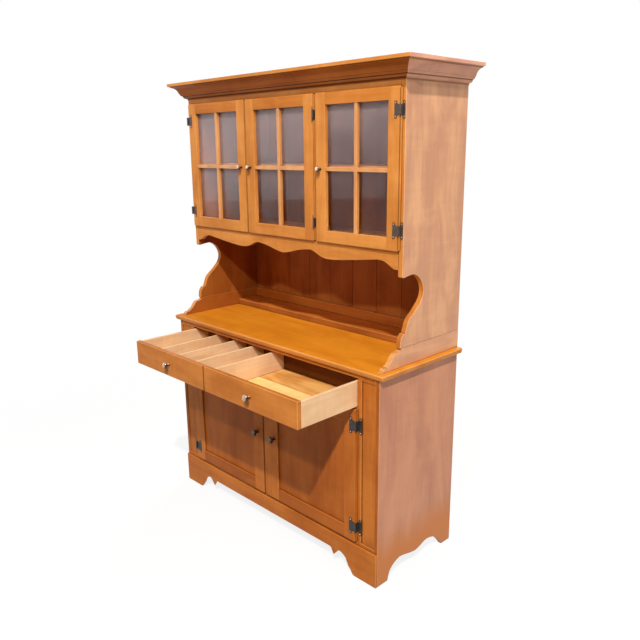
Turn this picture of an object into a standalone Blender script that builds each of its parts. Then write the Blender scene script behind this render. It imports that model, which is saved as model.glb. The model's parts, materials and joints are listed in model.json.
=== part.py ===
"""China hutch: a two-door base with one long drawer, under a three-door glazed top on scrolled sides.

Metres, +Z up. X runs along the front and the front faces -Y. The origin is on the floor, under the
middle of the whole with its drawer pulled out. Depths are written forward from the rear face, and
the right-hand side of a pair is the one at +X.
"""
import math

import bmesh
import bpy
from mathutils import Matrix, Vector

# Fit between pieces
GAP = 0.0003
RUN = 0.0013
OVERRUN = 0.002

# Base case
CASE_W = 1.200
BASE_D = 0.4524
SIDE_T = 0.016
BACK_T = 0.006
BOARD_T = 0.018
RAIL_T = 0.019
COUNTER_UNDER_Z = 0.800
BASE_STILE_W = 0.083
DOOR_OPENING_LOW_Z = 0.1557
TOP_RAIL_W = 0.0155
DRAWER_RAIL_W = 0.0175
BOTTOM_RAIL_H = 0.060

# Recessed strip of the base stiles
STRIP_EDGE = 0.0175
STRIP_GROOVE_W = 0.006
STRIP_GROOVE_DEPTH = 0.007
STRIP_DEPTH = 0.0035
STRIP_FOOT = 0.0131
STRIP_HEAD = 0.021

# Apron and feet
APRON_T = 0.0078
APRON_TOP_Z = 0.1344
APRON_EASE = 0.0045
APRON_CUT_H = 0.072
SIDE_CUT_H = 0.0675

# Counter
COUNTER_SIDE_OUT = 0.023
COUNTER_FRONT_OUT = 0.0121
COUNTER_T = 0.022

# Low gallery between counter and top
GALLERY_H = 0.067
GALLERY_SIDE_T = 0.020
GALLERY_BACK_T = 0.018
GALLERY_NOSE_BACK = 0.011
LEDGE_D = 0.128
LEDGE_H = 0.025

# Glazed top
UPPER_D = 0.345
UPPER_SIDE_T = 0.020
PLANK_T = 0.010
NICHE_H = 0.257
CASE_TOP_Z = 1.800
UPPER_SHELF_DOWN = 0.007
UPPER_SHELF_SETBACK = 0.045
V_GROOVE_W = 0.005
V_GROOVE_DEPTH = 0.003
PLANK_W = 0.1333
VALANCE_UP = 0.0145
VALANCE_H = 0.0622
VALANCE_RISE = 0.028

# Crown moulding
CROWN_DROP = 0.036
CROWN_H = 0.068
CROWN_OUT = 0.063
CROWN_BACK_LEAN = 0.020

# Doors
DOOR_T = 0.020
DOOR_PROUD = 0.011
DOOR_LIP = 0.009
DOOR_EASE = 0.004
UPPER_DOOR_CORNER_R = 0.006
UPPER_DOOR_DROP = 0.0537
UPPER_DOOR_EDGE = 0.011
UPPER_KNOB_MEET = 0.004
UPPER_HINGE_MEET = 0.0085
UPPER_STILE_W = 0.051
UPPER_TOP_RAIL_W = 0.0415
UPPER_BOTTOM_RAIL_W = 0.0445
MUNTIN_W = 0.014
MUNTIN_SETBACK = 0.002
GLASS_T = 0.003
GLASS_SETBACK = 0.016
GLASS_REBATE = 0.006
LOWER_DOOR_CORNER_R = 0.009
LOWER_DOOR_LAP = 0.0035
LOWER_DOOR_SPLIT_X = -0.010
LOWER_DOOR_SPLIT_GAP = 0.001
LOWER_STILE_W = 0.060
LOWER_PANEL_INNER_X = 0.075
LOWER_TOP_RAIL_W = 0.060
LOWER_BOTTOM_RAIL_W = 0.053
PANEL_SETBACK = 0.008
PANEL_T = 0.006
PANEL_GROOVE = 0.008

# Drawer, shown pulled out by DRAWER_OUT
DRAWER_OUT = 0.2856
DRAWER_TOP_GAP = 0.0065
DRAWER_FLOAT = 0.001
DRAWER_H = 0.0975
DRAWER_LEN = 0.370
DRAWER_FRONT_T = 0.018
DRAWER_SIDE_T = 0.012
DRAWER_SIDE_DROP = 0.003
DRAWER_FLOOR_T = 0.005
DRAWER_FLOOR_UP = 0.007
DIVIDER_T = 0.008
DIVIDER_XS = (-0.336, -0.213, -0.094, 0.030)
DRAWER_SPLIT_X = -0.016
DRAWER_SPLIT_W = 0.004
DRAWER_SPLIT_DEPTH = 0.003
RUNNER_T = 0.014
RUNNER_REACH = 0.014
GUIDE_T = 0.018
GUIDE_H = 0.034

# Knobs
KNOB_R = 0.0140
KNOB_OUT = 0.024
SMALL_KNOB_R = 0.0110
SMALL_KNOB_OUT = 0.021
KNOB_SIDES = 20
DRAWER_KNOB_X = 0.255
UPPER_KNOB_EDGE = 0.027
LOWER_KNOB_XS = (-0.050, 0.054)
LOWER_KNOB_UP = 0.0096

# H hinges
LEAF_T = 0.0015
BARREL_R = 0.0035
PIN_R = 0.0015
BORE_R = 0.0018
HINGE_SIDES = 10
HINGE_PLACES = ("low", "high")
KNUCKLES = 3
PIN_HEAD_R = 0.0026
PIN_HEAD_H = 0.0025
LOWER_HINGE_H = 0.062
LOWER_HINGE_WEB_H = 0.042
LOWER_DOOR_LEAF_W = 0.0295
LOWER_CASE_LEAF_W = 0.0180
LOWER_LEAF_BAR_W = 0.0115
LOWER_HINGE_ENDS = (0.0633, 0.0620)
UPPER_HINGE_H = 0.055
UPPER_HINGE_WEB_H = 0.037
UPPER_DOOR_LEAF_W = 0.0220
UPPER_CASE_LEAF_W = 0.0092
UPPER_LEAF_BAR_W = 0.0078
UPPER_HINGE_ENDS = (0.0698, 0.0718)
MIDDLE_LEAF_W = 0.0030
MIDDLE_BAR_W = 0.0015

# Levels and places that follow from the sizes above
HALF_W = CASE_W / 2
SIDE_INNER_X = HALF_W - SIDE_T
UPPER_INNER_X = HALF_W - UPPER_SIDE_T
OPENING_HALF_W = SIDE_INNER_X - BASE_STILE_W
STRIP_INNER_X = OPENING_HALF_W + STRIP_EDGE
STRIP_LOW_Z = APRON_TOP_Z + STRIP_FOOT
STRIP_TOP_Z = COUNTER_UNDER_Z - STRIP_HEAD
TOP_RAIL_LOW_Z = COUNTER_UNDER_Z - TOP_RAIL_W
DRAWER_TOP_Z = TOP_RAIL_LOW_Z - DRAWER_TOP_GAP
DRAWER_LOW_Z = DRAWER_TOP_Z - DRAWER_H
DRAWER_RAIL_TOP_Z = DRAWER_LOW_Z - DRAWER_FLOAT
DOOR_OPENING_TOP_Z = DRAWER_RAIL_TOP_Z - DRAWER_RAIL_W
COUNTER_W = CASE_W + 2 * COUNTER_SIDE_OUT
COUNTER_D = BASE_D + COUNTER_FRONT_OUT
COUNTER_Z = COUNTER_UNDER_Z + COUNTER_T
SEAM_Z = COUNTER_Z + GALLERY_H
DRAWER_HALF_W = OPENING_HALF_W - RUN
DRAWER_FRONT_D = BASE_D + DRAWER_OUT
DRAWER_REAR_D = DRAWER_FRONT_D - DRAWER_LEN
VALANCE_LOW_Z = SEAM_Z + NICHE_H + VALANCE_UP
CROWN_LOW_Z = CASE_TOP_Z - CROWN_DROP
UPPER_DOOR_OUTER_X = HALF_W - UPPER_DOOR_EDGE
UPPER_DOOR_W = (2 * UPPER_DOOR_OUTER_X - UPPER_KNOB_MEET - UPPER_HINGE_MEET) / 3
UPPER_DOOR_LOW_Z = VALANCE_LOW_Z + VALANCE_H
UPPER_DOOR_TOP_Z = CASE_TOP_Z - UPPER_DOOR_DROP
UPPER_SHELF_Z = (UPPER_DOOR_LOW_Z + UPPER_DOOR_TOP_Z) / 2 - UPPER_SHELF_DOWN
UPPER_OPENING_LOW_Z = UPPER_DOOR_LOW_Z + DOOR_LIP
UPPER_OPENING_TOP_Z = UPPER_DOOR_TOP_Z - DOOR_LIP
LOWER_DOOR_OUTER_X = OPENING_HALF_W + LOWER_DOOR_LAP
LOWER_DOOR_LOW_Z = DOOR_OPENING_LOW_Z - DOOR_LIP
LOWER_DOOR_TOP_Z = DOOR_OPENING_TOP_Z + DOOR_LIP
LOWER_KNOB_Z = (LOWER_DOOR_LOW_Z + LOWER_DOOR_TOP_Z) / 2 + LOWER_KNOB_UP
LOWER_HINGE_ZS = (LOWER_DOOR_LOW_Z + LOWER_HINGE_ENDS[0], LOWER_DOOR_TOP_Z - LOWER_HINGE_ENDS[1])
UPPER_HINGE_ZS = (UPPER_DOOR_LOW_Z + UPPER_HINGE_ENDS[0], UPPER_DOOR_TOP_Z - UPPER_HINGE_ENDS[1])
LOWER_FACE_D = BASE_D + DOOR_PROUD
UPPER_FACE_D = UPPER_D + DOOR_PROUD
REAR_Y = (DRAWER_FRONT_D + KNOB_OUT) / 2
LOWER_HINGE = (LOWER_HINGE_H, LOWER_HINGE_WEB_H, LOWER_LEAF_BAR_W, LOWER_CASE_LEAF_W, LOWER_DOOR_LEAF_W)
UPPER_HINGE = (UPPER_HINGE_H, UPPER_HINGE_WEB_H, UPPER_LEAF_BAR_W, UPPER_CASE_LEAF_W, UPPER_DOOR_LEAF_W)
MIDDLE_HINGE = (UPPER_HINGE_H, UPPER_HINGE_WEB_H, MIDDLE_BAR_W, MIDDLE_LEAF_W, MIDDLE_LEAF_W)

# Outlines as shares of the sizes they follow, from the middle or the rear outwards
VALANCE_SHARES = ((0.0, 0.0), (0.029, 0.07), (0.088, 0.30), (0.155, 0.66), (0.262, 0.96), (0.310, 0.75),
                  (0.364, 0.25), (0.4155, 0.04), (0.474, 0.04), (0.555, 0.18), (0.690, 0.50),
                  (0.793, 0.79), (0.853, 0.92), (0.895, 0.81), (0.926, 0.54), (0.952, 0.20), (0.975, 0.0))
APRON_FOOT_SHARES = ((0.825, 0.0), (0.808, 0.04), (0.790, 0.27), (0.771, 0.42), (0.748, 0.79),
                     (0.717, 0.95), (0.692, 1.0), (0.675, 0.89))
APRON_DROP_SHARES = ((0.643, 0.59), (0.621, 0.93), (0.610, 0.965))
SIDE_FOOT_SHARES = ((0.8665, 0.0), (0.848, 0.44), (0.796, 0.80), (0.712, 1.0), (0.623, 0.89), (0.508, 0.74),
                    (0.418, 0.87), (0.347, 1.0), (0.250, 0.86), (0.175, 0.46), (0.119, 0.0))
SCROLL_SHARES = ((0.993, 0.962), (0.974, 0.951), (0.938, 0.958), (0.893, 0.967), (0.820, 0.975),
                 (0.760, 0.947), (0.707, 0.893), (0.670, 0.819), (0.651, 0.737), (0.658, 0.659),
                 (0.686, 0.589), (0.733, 0.526), (0.783, 0.464), (0.832, 0.413), (0.866, 0.374),
                 (0.890, 0.3275), (0.910, 0.257), (0.927, 0.191))
SCROLL_LIP_SHARES = ((0.956, 0.191), (0.980, 0.156), (0.997, 0.113), (1.003, 0.062), (1.006, 0.0))
GALLERY_NOSE_SHARES = ((1.0, 0.0), (0.981, 0.045), (0.967, 0.187), (0.938, 0.195), (0.927, 0.254),
                       (0.908, 0.343), (0.893, 0.42), (0.879, 0.54), (0.868, 0.64), (0.856, 0.72),
                       (0.838, 0.815), (0.8065, 0.83), (0.787, 0.89), (0.7725, 0.94), (0.770, 1.0))
COUNTER_EDGE_SHARES = ((0.0, 0.36), (0.10, 0.16), (0.40, 0.07), (0.56, 0.07), (0.60, 0.01), (0.74, 0.0),
                       (0.88, 0.06), (0.97, 0.20), (1.0, 0.40))
CROWN_SHARES = ((0.03, 0.0), (0.03, 0.06), (0.20, 0.12), (0.25, 0.20), (0.25, 0.235), (0.33, 0.255),
                (0.385, 0.315), (0.40, 0.375), (0.44, 0.385), (0.475, 0.50), (0.55, 0.62), (0.66, 0.71),
                (0.79, 0.76), (0.86, 0.775), (0.87, 0.81), (1.0, 0.83), (1.0, 1.0))
KNOB_SHARES = ((0.50, 0.0), (0.46, 0.10), (0.34, 0.24), (0.32, 0.44), (0.52, 0.56), (0.88, 0.66),
               (1.0, 0.78), (0.94, 0.90), (0.70, 0.98))


# Finishes: colour, roughness, metallic, opacity
MAPLE = ((0.53, 0.23, 0.06, 1.0), 0.34, 0.0, 1.0)
SHADED_MAPLE = ((0.38, 0.16, 0.05, 1.0), 0.42, 0.0, 1.0)
PALE_MAPLE = ((0.80, 0.56, 0.32, 1.0), 0.55, 0.0, 1.0)
CLEAR_GLASS = ((0.70, 0.74, 0.76, 1.0), 0.04, 0.0, 0.3)
PEWTER = ((0.09, 0.08, 0.08, 1.0), 0.45, 0.9, 1.0)
NICKEL = ((0.62, 0.59, 0.55, 1.0), 0.22, 1.0, 1.0)


def front_spot(x, z, depth):
    return Vector((x, REAR_Y - depth, z))


def side_spot(depth, z, x):
    return Vector((x, REAR_Y - depth, z))


def plan_spot(x, depth, z):
    return Vector((x, REAR_Y - depth, z))


def clear_scene():
    for obj in list(bpy.data.objects):
        bpy.data.objects.remove(obj, do_unlink=True)


def empty(name, spot):
    """A pivot on a joint's axis."""
    pivot = bpy.data.objects.new(name, None)
    pivot.location = spot
    bpy.context.scene.collection.objects.link(pivot)
    return pivot


def dress(obj, finish):
    """Give the object its own plain Principled finish."""
    colour, roughness, metallic, opacity = finish
    material = bpy.data.materials.new(obj.name + "_finish")
    material.use_nodes = True
    shader = material.node_tree.nodes["Principled BSDF"]
    shader.inputs["Base Color"].default_value = colour
    shader.inputs["Roughness"].default_value = roughness
    shader.inputs["Metallic"].default_value = metallic
    shader.inputs["Alpha"].default_value = opacity
    obj.data.materials.append(material)


def piece(name, bm, finish, pivot=None):
    """Turn a bmesh built in world places into a named object, hung on its pivot if it moves."""
    bmesh.ops.recalc_face_normals(bm, faces=bm.faces)
    if pivot is not None:
        bmesh.ops.translate(bm, verts=bm.verts, vec=-pivot.location)
    mesh = bpy.data.meshes.new(name)
    bm.to_mesh(mesh)
    bm.free()
    obj = bpy.data.objects.new(name, mesh)
    bpy.context.scene.collection.objects.link(obj)
    obj.parent = pivot
    dress(obj, finish)
    return obj


def prism(bm, outline, spot, start, end):
    """A solid drawn straight from an outline, in the plane that spot places it in."""
    ring = [bm.verts.new(spot(u, v, start)) for u, v in outline]
    face = bm.faces.new(ring)
    grown = bmesh.ops.extrude_face_region(bm, geom=[face])["geom"]
    moved = [item for item in grown if isinstance(item, bmesh.types.BMVert)]
    bmesh.ops.translate(bm, verts=moved, vec=spot(0, 0, end) - spot(0, 0, start))
    return ring, moved


def grown_face(bm, face, keep):
    """Extrude one face in place and give back the new one; the old one stays only as the first end."""
    grown = bmesh.ops.extrude_face_region(bm, geom=[face])["geom"]
    if not keep:
        bmesh.ops.delete(bm, geom=[face], context="FACES_ONLY")
    return [item for item in grown if isinstance(item, bmesh.types.BMFace)][0]


def box(bm, xs, depths, zs):
    """A square block between two x, two depths and two heights."""
    corners = [(xs[0], zs[0]), (xs[1], zs[0]), (xs[1], zs[1]), (xs[0], zs[1])]
    return prism(bm, corners, front_spot, depths[0], depths[1])


def board(name, xs, depths, zs, finish, pivot=None):
    bm = bmesh.new()
    box(bm, xs, depths, zs)
    return piece(name, bm, finish, pivot)


def mirrored(xs):
    return (-xs[1], -xs[0])


def flowing(points, steps=2):
    """Points on a smooth curve through the given ones, ends included."""
    padded = [points[0]] + list(points) + [points[-1]]
    run = []
    for i in range(len(points) - 1):
        p0, p1, p2, p3 = (Vector(padded[i + k]) for k in range(4))
        for step in range(steps):
            t = step / steps
            run.append(0.5 * ((2 * p1) + (p2 - p0) * t + (2 * p0 - 5 * p1 + 4 * p2 - p3) * t ** 2
                              + (3 * p1 - p0 - 3 * p2 + p3) * t ** 3))
    run.append(Vector(points[-1]))
    return [tuple(point) for point in run]


def scaled(shares, width, height, base=0.0):
    return [(u * width, base + v * height) for u, v in shares]


def quarter(centre, radius, start_deg, end_deg, steps=3):
    """Points of an arc that rounds an edge."""
    turn = (end_deg - start_deg) / steps
    angles = [math.radians(start_deg + turn * step) for step in range(steps + 1)]
    return [(centre[0] + radius * math.cos(a), centre[1] + radius * math.sin(a)) for a in angles]


def as_object(bm):
    mesh = bpy.data.meshes.new("tool")
    bmesh.ops.recalc_face_normals(bm, faces=bm.faces)
    bm.to_mesh(mesh)
    bm.free()
    obj = bpy.data.objects.new("tool", mesh)
    bpy.context.scene.collection.objects.link(obj)
    return obj


def combined(body, tool, operation):
    """The union or difference of two closed shapes, as a new bmesh."""
    body_obj = as_object(body)
    tool_obj = as_object(tool)
    modifier = body_obj.modifiers.new("join", "BOOLEAN")
    modifier.operation = operation
    modifier.object = tool_obj
    modifier.solver = "EXACT"
    graph = bpy.context.evaluated_depsgraph_get()
    mesh = bpy.data.meshes.new_from_object(body_obj.evaluated_get(graph))
    result = bmesh.new()
    result.from_mesh(mesh)
    for obj in (body_obj, tool_obj):
        bpy.data.objects.remove(obj, do_unlink=True)
    return result


def cylinder(bm, radius, centre, half_height, sides=HINGE_SIDES):
    bmesh.ops.create_cone(bm, cap_ends=True, segments=sides, radius1=radius, radius2=radius,
                          depth=2 * half_height, matrix=Matrix.Translation(centre))


def turned(bm, profile, centre, axis, steps):
    """A solid of revolution: radius and place along the axis, spun right round."""
    along = Vector(axis)
    outward = Vector((1, 0, 0))
    verts = [bm.verts.new(centre + outward * r + along * t) for r, t in profile]
    edges = [bm.edges.new(pair) for pair in zip(verts, verts[1:])]
    bmesh.ops.spin(bm, geom=verts + edges, cent=centre, axis=axis, angle=2 * math.pi, steps=steps,
                   use_merge=True)
    bmesh.ops.remove_doubles(bm, verts=bm.verts, dist=GAP / 10)


def knob(bm, x, face_d, z, radius, out):
    """A turned knob whose foot stands on a face, its axis along the depth."""
    reach = out - GAP
    rim = flowing(scaled(KNOB_SHARES, radius, reach), 2)
    profile = [(0.0, 0.0)] + rim + [(0.0, reach)]
    turned(bm, profile, front_spot(x, z, face_d + GAP), (0, -1, 0), KNOB_SIDES)


def cut_box(body, xs, depths, zs):
    """Cut a square opening or rebate."""
    tool = bmesh.new()
    box(tool, xs, depths, zs)
    return combined(body, tool, "DIFFERENCE")


# Base case
def side_outline(height):
    """A base side seen from the side: two feet with a double-peaked scallop between them."""
    cut = flowing(scaled(SIDE_FOOT_SHARES, BASE_D, SIDE_CUT_H))
    return [(BASE_D, 0.0)] + cut + [(0.0, 0.0), (0.0, height), (BASE_D, height)]


def runner_outline():
    """The angle that a drawer side slides on and along, let into the base side."""
    top = DRAWER_LOW_Z - GAP
    foot_x = DRAWER_HALF_W - RUNNER_REACH
    root_x = SIDE_INNER_X + OVERRUN
    guide_x = OPENING_HALF_W + GUIDE_T
    return [(foot_x, top - RUNNER_T), (root_x, top - RUNNER_T), (root_x, top), (guide_x, top),
            (guide_x, top + GUIDE_H), (OPENING_HALF_W, top + GUIDE_H), (OPENING_HALF_W, top),
            (foot_x, top)]


def base_sides():
    """Two sides on scalloped feet, each with the drawer runner glued to its inner face."""
    outline = side_outline(COUNTER_UNDER_Z - GAP)
    for name, side in (("base_side_left", -1), ("base_side_right", 1)):
        body = bmesh.new()
        prism(body, outline, side_spot, side * SIDE_INNER_X, side * HALF_W)
        runner = bmesh.new()
        points = [(side * x, z) for x, z in runner_outline()]
        prism(runner, points, front_spot, BACK_T + GAP, BASE_D - RAIL_T - GAP)
        piece(name, combined(body, runner, "UNION"), MAPLE)


def base_face_frame():
    """The glued-up face frame: two stiles, three rails, and a recessed strip down each stile."""
    body = bmesh.new()
    face = (BASE_D - RAIL_T, BASE_D)
    through = (face[0] - OVERRUN, face[1] + OVERRUN)
    outer_x = SIDE_INNER_X - GAP
    box(body, (-outer_x, outer_x), face, (0.0, COUNTER_UNDER_Z - GAP))
    opening = (-OPENING_HALF_W, OPENING_HALF_W)
    for zs in ((-OVERRUN, DOOR_OPENING_LOW_Z - BOTTOM_RAIL_H), (DOOR_OPENING_LOW_Z, DOOR_OPENING_TOP_Z),
               (DRAWER_RAIL_TOP_Z, TOP_RAIL_LOW_Z)):
        body = cut_box(body, opening, through, zs)
    strip_zs = (STRIP_LOW_Z, STRIP_TOP_Z)
    for side in (-1, 1):
        strip = sorted((side * STRIP_INNER_X, side * (outer_x + OVERRUN)))
        body = cut_box(body, strip, (BASE_D - STRIP_DEPTH, through[1]), strip_zs)
        line = sorted((side * STRIP_INNER_X, side * (STRIP_INNER_X + STRIP_GROOVE_W)))
        body = cut_box(body, line, (BASE_D - STRIP_GROOVE_DEPTH, through[1]), strip_zs)
    piece("base_face_frame", body, MAPLE)


def apron():
    """The planted board with bracket feet and small pointed drops, its top edge eased."""
    foot = flowing(scaled(APRON_FOOT_SHARES, HALF_W, APRON_CUT_H))
    half = [(HALF_W, 0.0)] + foot + scaled(APRON_DROP_SHARES, HALF_W, APRON_CUT_H)
    left = [(-x, z) for x, z in reversed(half)]
    outline = half + left + [(-HALF_W, APRON_TOP_Z), (HALF_W, APRON_TOP_Z)]
    bm = bmesh.new()
    prism(bm, outline, front_spot, BASE_D + GAP, BASE_D + APRON_T)
    top = [e for e in bm.edges if all(v.co.z > APRON_TOP_Z - GAP for v in e.verts)]
    front = [e for e in top if all(v.co.y < REAR_Y - BASE_D - APRON_T / 2 for v in e.verts)]
    bmesh.ops.bevel(bm, geom=front, offset=APRON_EASE, affect="EDGES", segments=3, profile=0.5,
                    material=-1)
    piece("base_apron", bm, MAPLE)


def base_inside():
    inner = (-SIDE_INNER_X + GAP, SIDE_INNER_X - GAP)
    bottom_zs = (DOOR_OPENING_LOW_Z - BOARD_T, DOOR_OPENING_LOW_Z)
    low = bottom_zs[0] - BOARD_T
    board("base_back", inner, (0.0, BACK_T), (low, COUNTER_UNDER_Z - GAP), SHADED_MAPLE)
    depths = (BACK_T + GAP, BASE_D - RAIL_T - GAP)
    board("base_bottom", inner, depths, bottom_zs, SHADED_MAPLE)


def counter():
    """The counter slab with its moulded nosing on the front and both ends."""
    half = COUNTER_W / 2
    nose = COUNTER_T
    levels = [(COUNTER_UNDER_Z + share * COUNTER_T, inset * nose) for share, inset in COUNTER_EDGE_SHARES]
    bm = bmesh.new()
    z, inset = levels[0]
    corners = [(-half + inset, 0.0), (half - inset, 0.0),
               (half - inset, COUNTER_D - inset), (-half + inset, COUNTER_D - inset)]
    face = bm.faces.new([bm.verts.new(plan_spot(x, d, z)) for x, d in corners])
    for index, (next_z, next_inset) in enumerate(levels[1:]):
        face = grown_face(bm, face, keep=index == 0)
        for vert in face.verts:
            side = math.copysign(1.0, vert.co.x)
            front = vert.co.y < REAR_Y - COUNTER_D / 2
            vert.co.x -= side * (next_inset - inset)
            vert.co.y += (next_inset - inset) if front else 0.0
            vert.co.z = next_z
        inset = next_inset
    piece("counter_top", bm, MAPLE)


# Low gallery
def gallery():
    """Two nosed sides, and a back with a low ledge in front of it."""
    reach = BASE_D - GALLERY_NOSE_BACK
    nose = flowing(scaled(GALLERY_NOSE_SHARES, reach, GALLERY_H - GAP * 2, COUNTER_Z + GAP))
    outline = [(0.0, COUNTER_Z + GAP)] + nose + [(0.0, SEAM_Z - GAP)]
    for name, start, end in (("gallery_side_left", -HALF_W, -HALF_W + GALLERY_SIDE_T),
                             ("gallery_side_right", HALF_W - GALLERY_SIDE_T, HALF_W)):
        bm = bmesh.new()
        prism(bm, outline, side_spot, start, end)
        piece(name, bm, MAPLE)
    inner = HALF_W - GALLERY_SIDE_T - GAP
    zs = (COUNTER_Z + GAP, SEAM_Z - GAP)
    ledge_z = zs[0] + LEDGE_H
    outline = [(0.0, zs[0]), (LEDGE_D, zs[0]), (LEDGE_D, ledge_z), (GALLERY_BACK_T, ledge_z),
               (GALLERY_BACK_T, zs[1]), (0.0, zs[1])]
    bm = bmesh.new()
    prism(bm, outline, side_spot, -inner, inner)
    piece("gallery_back", bm, MAPLE)


# Glazed top
def upper_sides():
    """The tall sides, scrolled in under the doors and out again to the gallery."""
    scroll = flowing(scaled(SCROLL_SHARES, UPPER_D, NICHE_H, SEAM_Z))
    lip = flowing(scaled(SCROLL_LIP_SHARES, UPPER_D, NICHE_H, SEAM_Z))
    outline = [(UPPER_D, CASE_TOP_Z)] + scroll + lip + [(0.0, SEAM_Z), (0.0, CASE_TOP_Z)]
    for name, start, end in (("upper_side_left", -HALF_W, -UPPER_INNER_X),
                             ("upper_side_right", UPPER_INNER_X, HALF_W)):
        bm = bmesh.new()
        prism(bm, outline, side_spot, start, end)
        piece(name, bm, MAPLE)


def plank_back():
    """One back of grooved planks, from the seam to the top, with a plank on its middle line."""
    inner = UPPER_INNER_X - GAP
    count = math.floor(inner / PLANK_W)
    front = []
    for index in range(-count, count):
        x = (index + 0.5) * PLANK_W
        front += [(x - V_GROOVE_W / 2, PLANK_T), (x, PLANK_T - V_GROOVE_DEPTH), (x + V_GROOVE_W / 2, PLANK_T)]
    outline = [(-inner, 0.0), (-inner, PLANK_T)] + front + [(inner, PLANK_T), (inner, 0.0)]
    bm = bmesh.new()
    prism(bm, outline, plan_spot, SEAM_Z, CASE_TOP_Z)
    piece("upper_back", bm, SHADED_MAPLE)


def upper_boards():
    inner = (-UPPER_INNER_X + GAP, UPPER_INNER_X - GAP)
    depths = (PLANK_T + GAP, UPPER_D - RAIL_T - GAP)
    board("upper_top", inner, depths, (CASE_TOP_Z - BOARD_T, CASE_TOP_Z), MAPLE)
    floor_zs = (UPPER_OPENING_LOW_Z - BOARD_T, UPPER_OPENING_LOW_Z)
    board("upper_floor", inner, depths, floor_zs, MAPLE)
    shelf = (PLANK_T + GAP, UPPER_D - UPPER_SHELF_SETBACK)
    board("upper_shelf", inner, shelf, (UPPER_SHELF_Z, UPPER_SHELF_Z + BOARD_T), SHADED_MAPLE)


def upper_door_spans():
    """The two edges of each glazed door, left to right."""
    left = -UPPER_DOOR_OUTER_X
    middle = left + UPPER_DOOR_W + UPPER_KNOB_MEET
    right = middle + UPPER_DOOR_W + UPPER_HINGE_MEET
    return tuple((edge, edge + UPPER_DOOR_W) for edge in (left, middle, right))


def upper_face_frame():
    """Top rail, two mullions and the valance, whose lower edge waves in ogees with lobes between."""
    inner = UPPER_INNER_X - GAP
    half = scaled(VALANCE_SHARES, inner, VALANCE_RISE, VALANCE_LOW_Z)
    wave = flowing([(-x, z) for x, z in reversed(half[1:])] + half, 3)
    outline = ([(-inner, CASE_TOP_Z), (-inner, VALANCE_LOW_Z)] + wave
               + [(inner, VALANCE_LOW_Z), (inner, CASE_TOP_Z)])
    body = bmesh.new()
    face = (UPPER_D - RAIL_T, UPPER_D)
    prism(body, outline, front_spot, face[0], face[1])
    zs = (UPPER_OPENING_LOW_Z, UPPER_OPENING_TOP_Z)
    through = (face[0] - OVERRUN, face[1] + OVERRUN)
    left, middle, right = upper_door_spans()
    for xs in ((-inner - OVERRUN, left[1] - DOOR_LIP), (middle[0] + DOOR_LIP, middle[1] - DOOR_LIP),
               (right[0] + DOOR_LIP, inner + OVERRUN)):
        body = cut_box(body, xs, through, zs)
    piece("upper_face_frame", body, MAPLE)


# Crown moulding
def crown_outline():
    """The moulding's section: distance out from the case, and height above its foot."""
    face = scaled(CROWN_SHARES, CROWN_OUT, CROWN_H, CROWN_LOW_Z)
    back_top = (CROWN_BACK_LEAN, CROWN_LOW_Z + CROWN_H)
    return [(GAP, CROWN_LOW_Z)] + face + [back_top, (GAP, CASE_TOP_Z)]


def crown():
    """One mitred run along the left end, the front and the right end."""
    bm = bmesh.new()
    ring = [bm.verts.new(front_spot(-HALF_W - out, z, 0.0)) for out, z in crown_outline()]
    face = grown_face(bm, bm.faces.new(ring), keep=True)
    for vert in face.verts:
        out = -HALF_W - vert.co.x
        vert.co.y = REAR_Y - UPPER_D - out
    face = grown_face(bm, face, keep=False)
    for vert in face.verts:
        vert.co.x = -vert.co.x
    face = grown_face(bm, face, keep=False)
    for vert in face.verts:
        vert.co.y = REAR_Y
    piece("crown", bm, MAPLE)


# Doors
def door_slab(xs, zs, face_d, lips, corner_r):
    """A door's blank: its corners and face edges eased, and rebated behind where it laps the frame."""
    body = bmesh.new()
    box(body, xs, (face_d - DOOR_T, face_d), zs)
    corners = [e for e in body.edges if abs(e.verts[0].co.y - e.verts[1].co.y) > DOOR_PROUD]
    bmesh.ops.bevel(body, geom=corners, offset=corner_r, affect="EDGES", segments=4, profile=0.5, material=-1)
    rim = [e for e in body.edges if all(v.co.y < REAR_Y - face_d + GAP for v in e.verts)]
    bmesh.ops.bevel(body, geom=rim, offset=DOOR_EASE, affect="EDGES", segments=3, profile=0.5, material=-1)
    behind = (face_d - DOOR_T - OVERRUN, face_d - DOOR_PROUD + GAP)
    wide = (xs[0] - OVERRUN, xs[1] + OVERRUN)
    high = (zs[0] - OVERRUN, zs[1] + OVERRUN)
    body = cut_box(body, wide, behind, (high[0], zs[0] + DOOR_LIP + RUN))
    body = cut_box(body, wide, behind, (zs[1] - DOOR_LIP - RUN, high[1]))
    if lips[0] > 0:
        body = cut_box(body, (wide[0], xs[0] + lips[0] + RUN), behind, high)
    if lips[1] > 0:
        body = cut_box(body, (xs[1] - lips[1] - RUN, wide[1]), behind, high)
    return body


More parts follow.
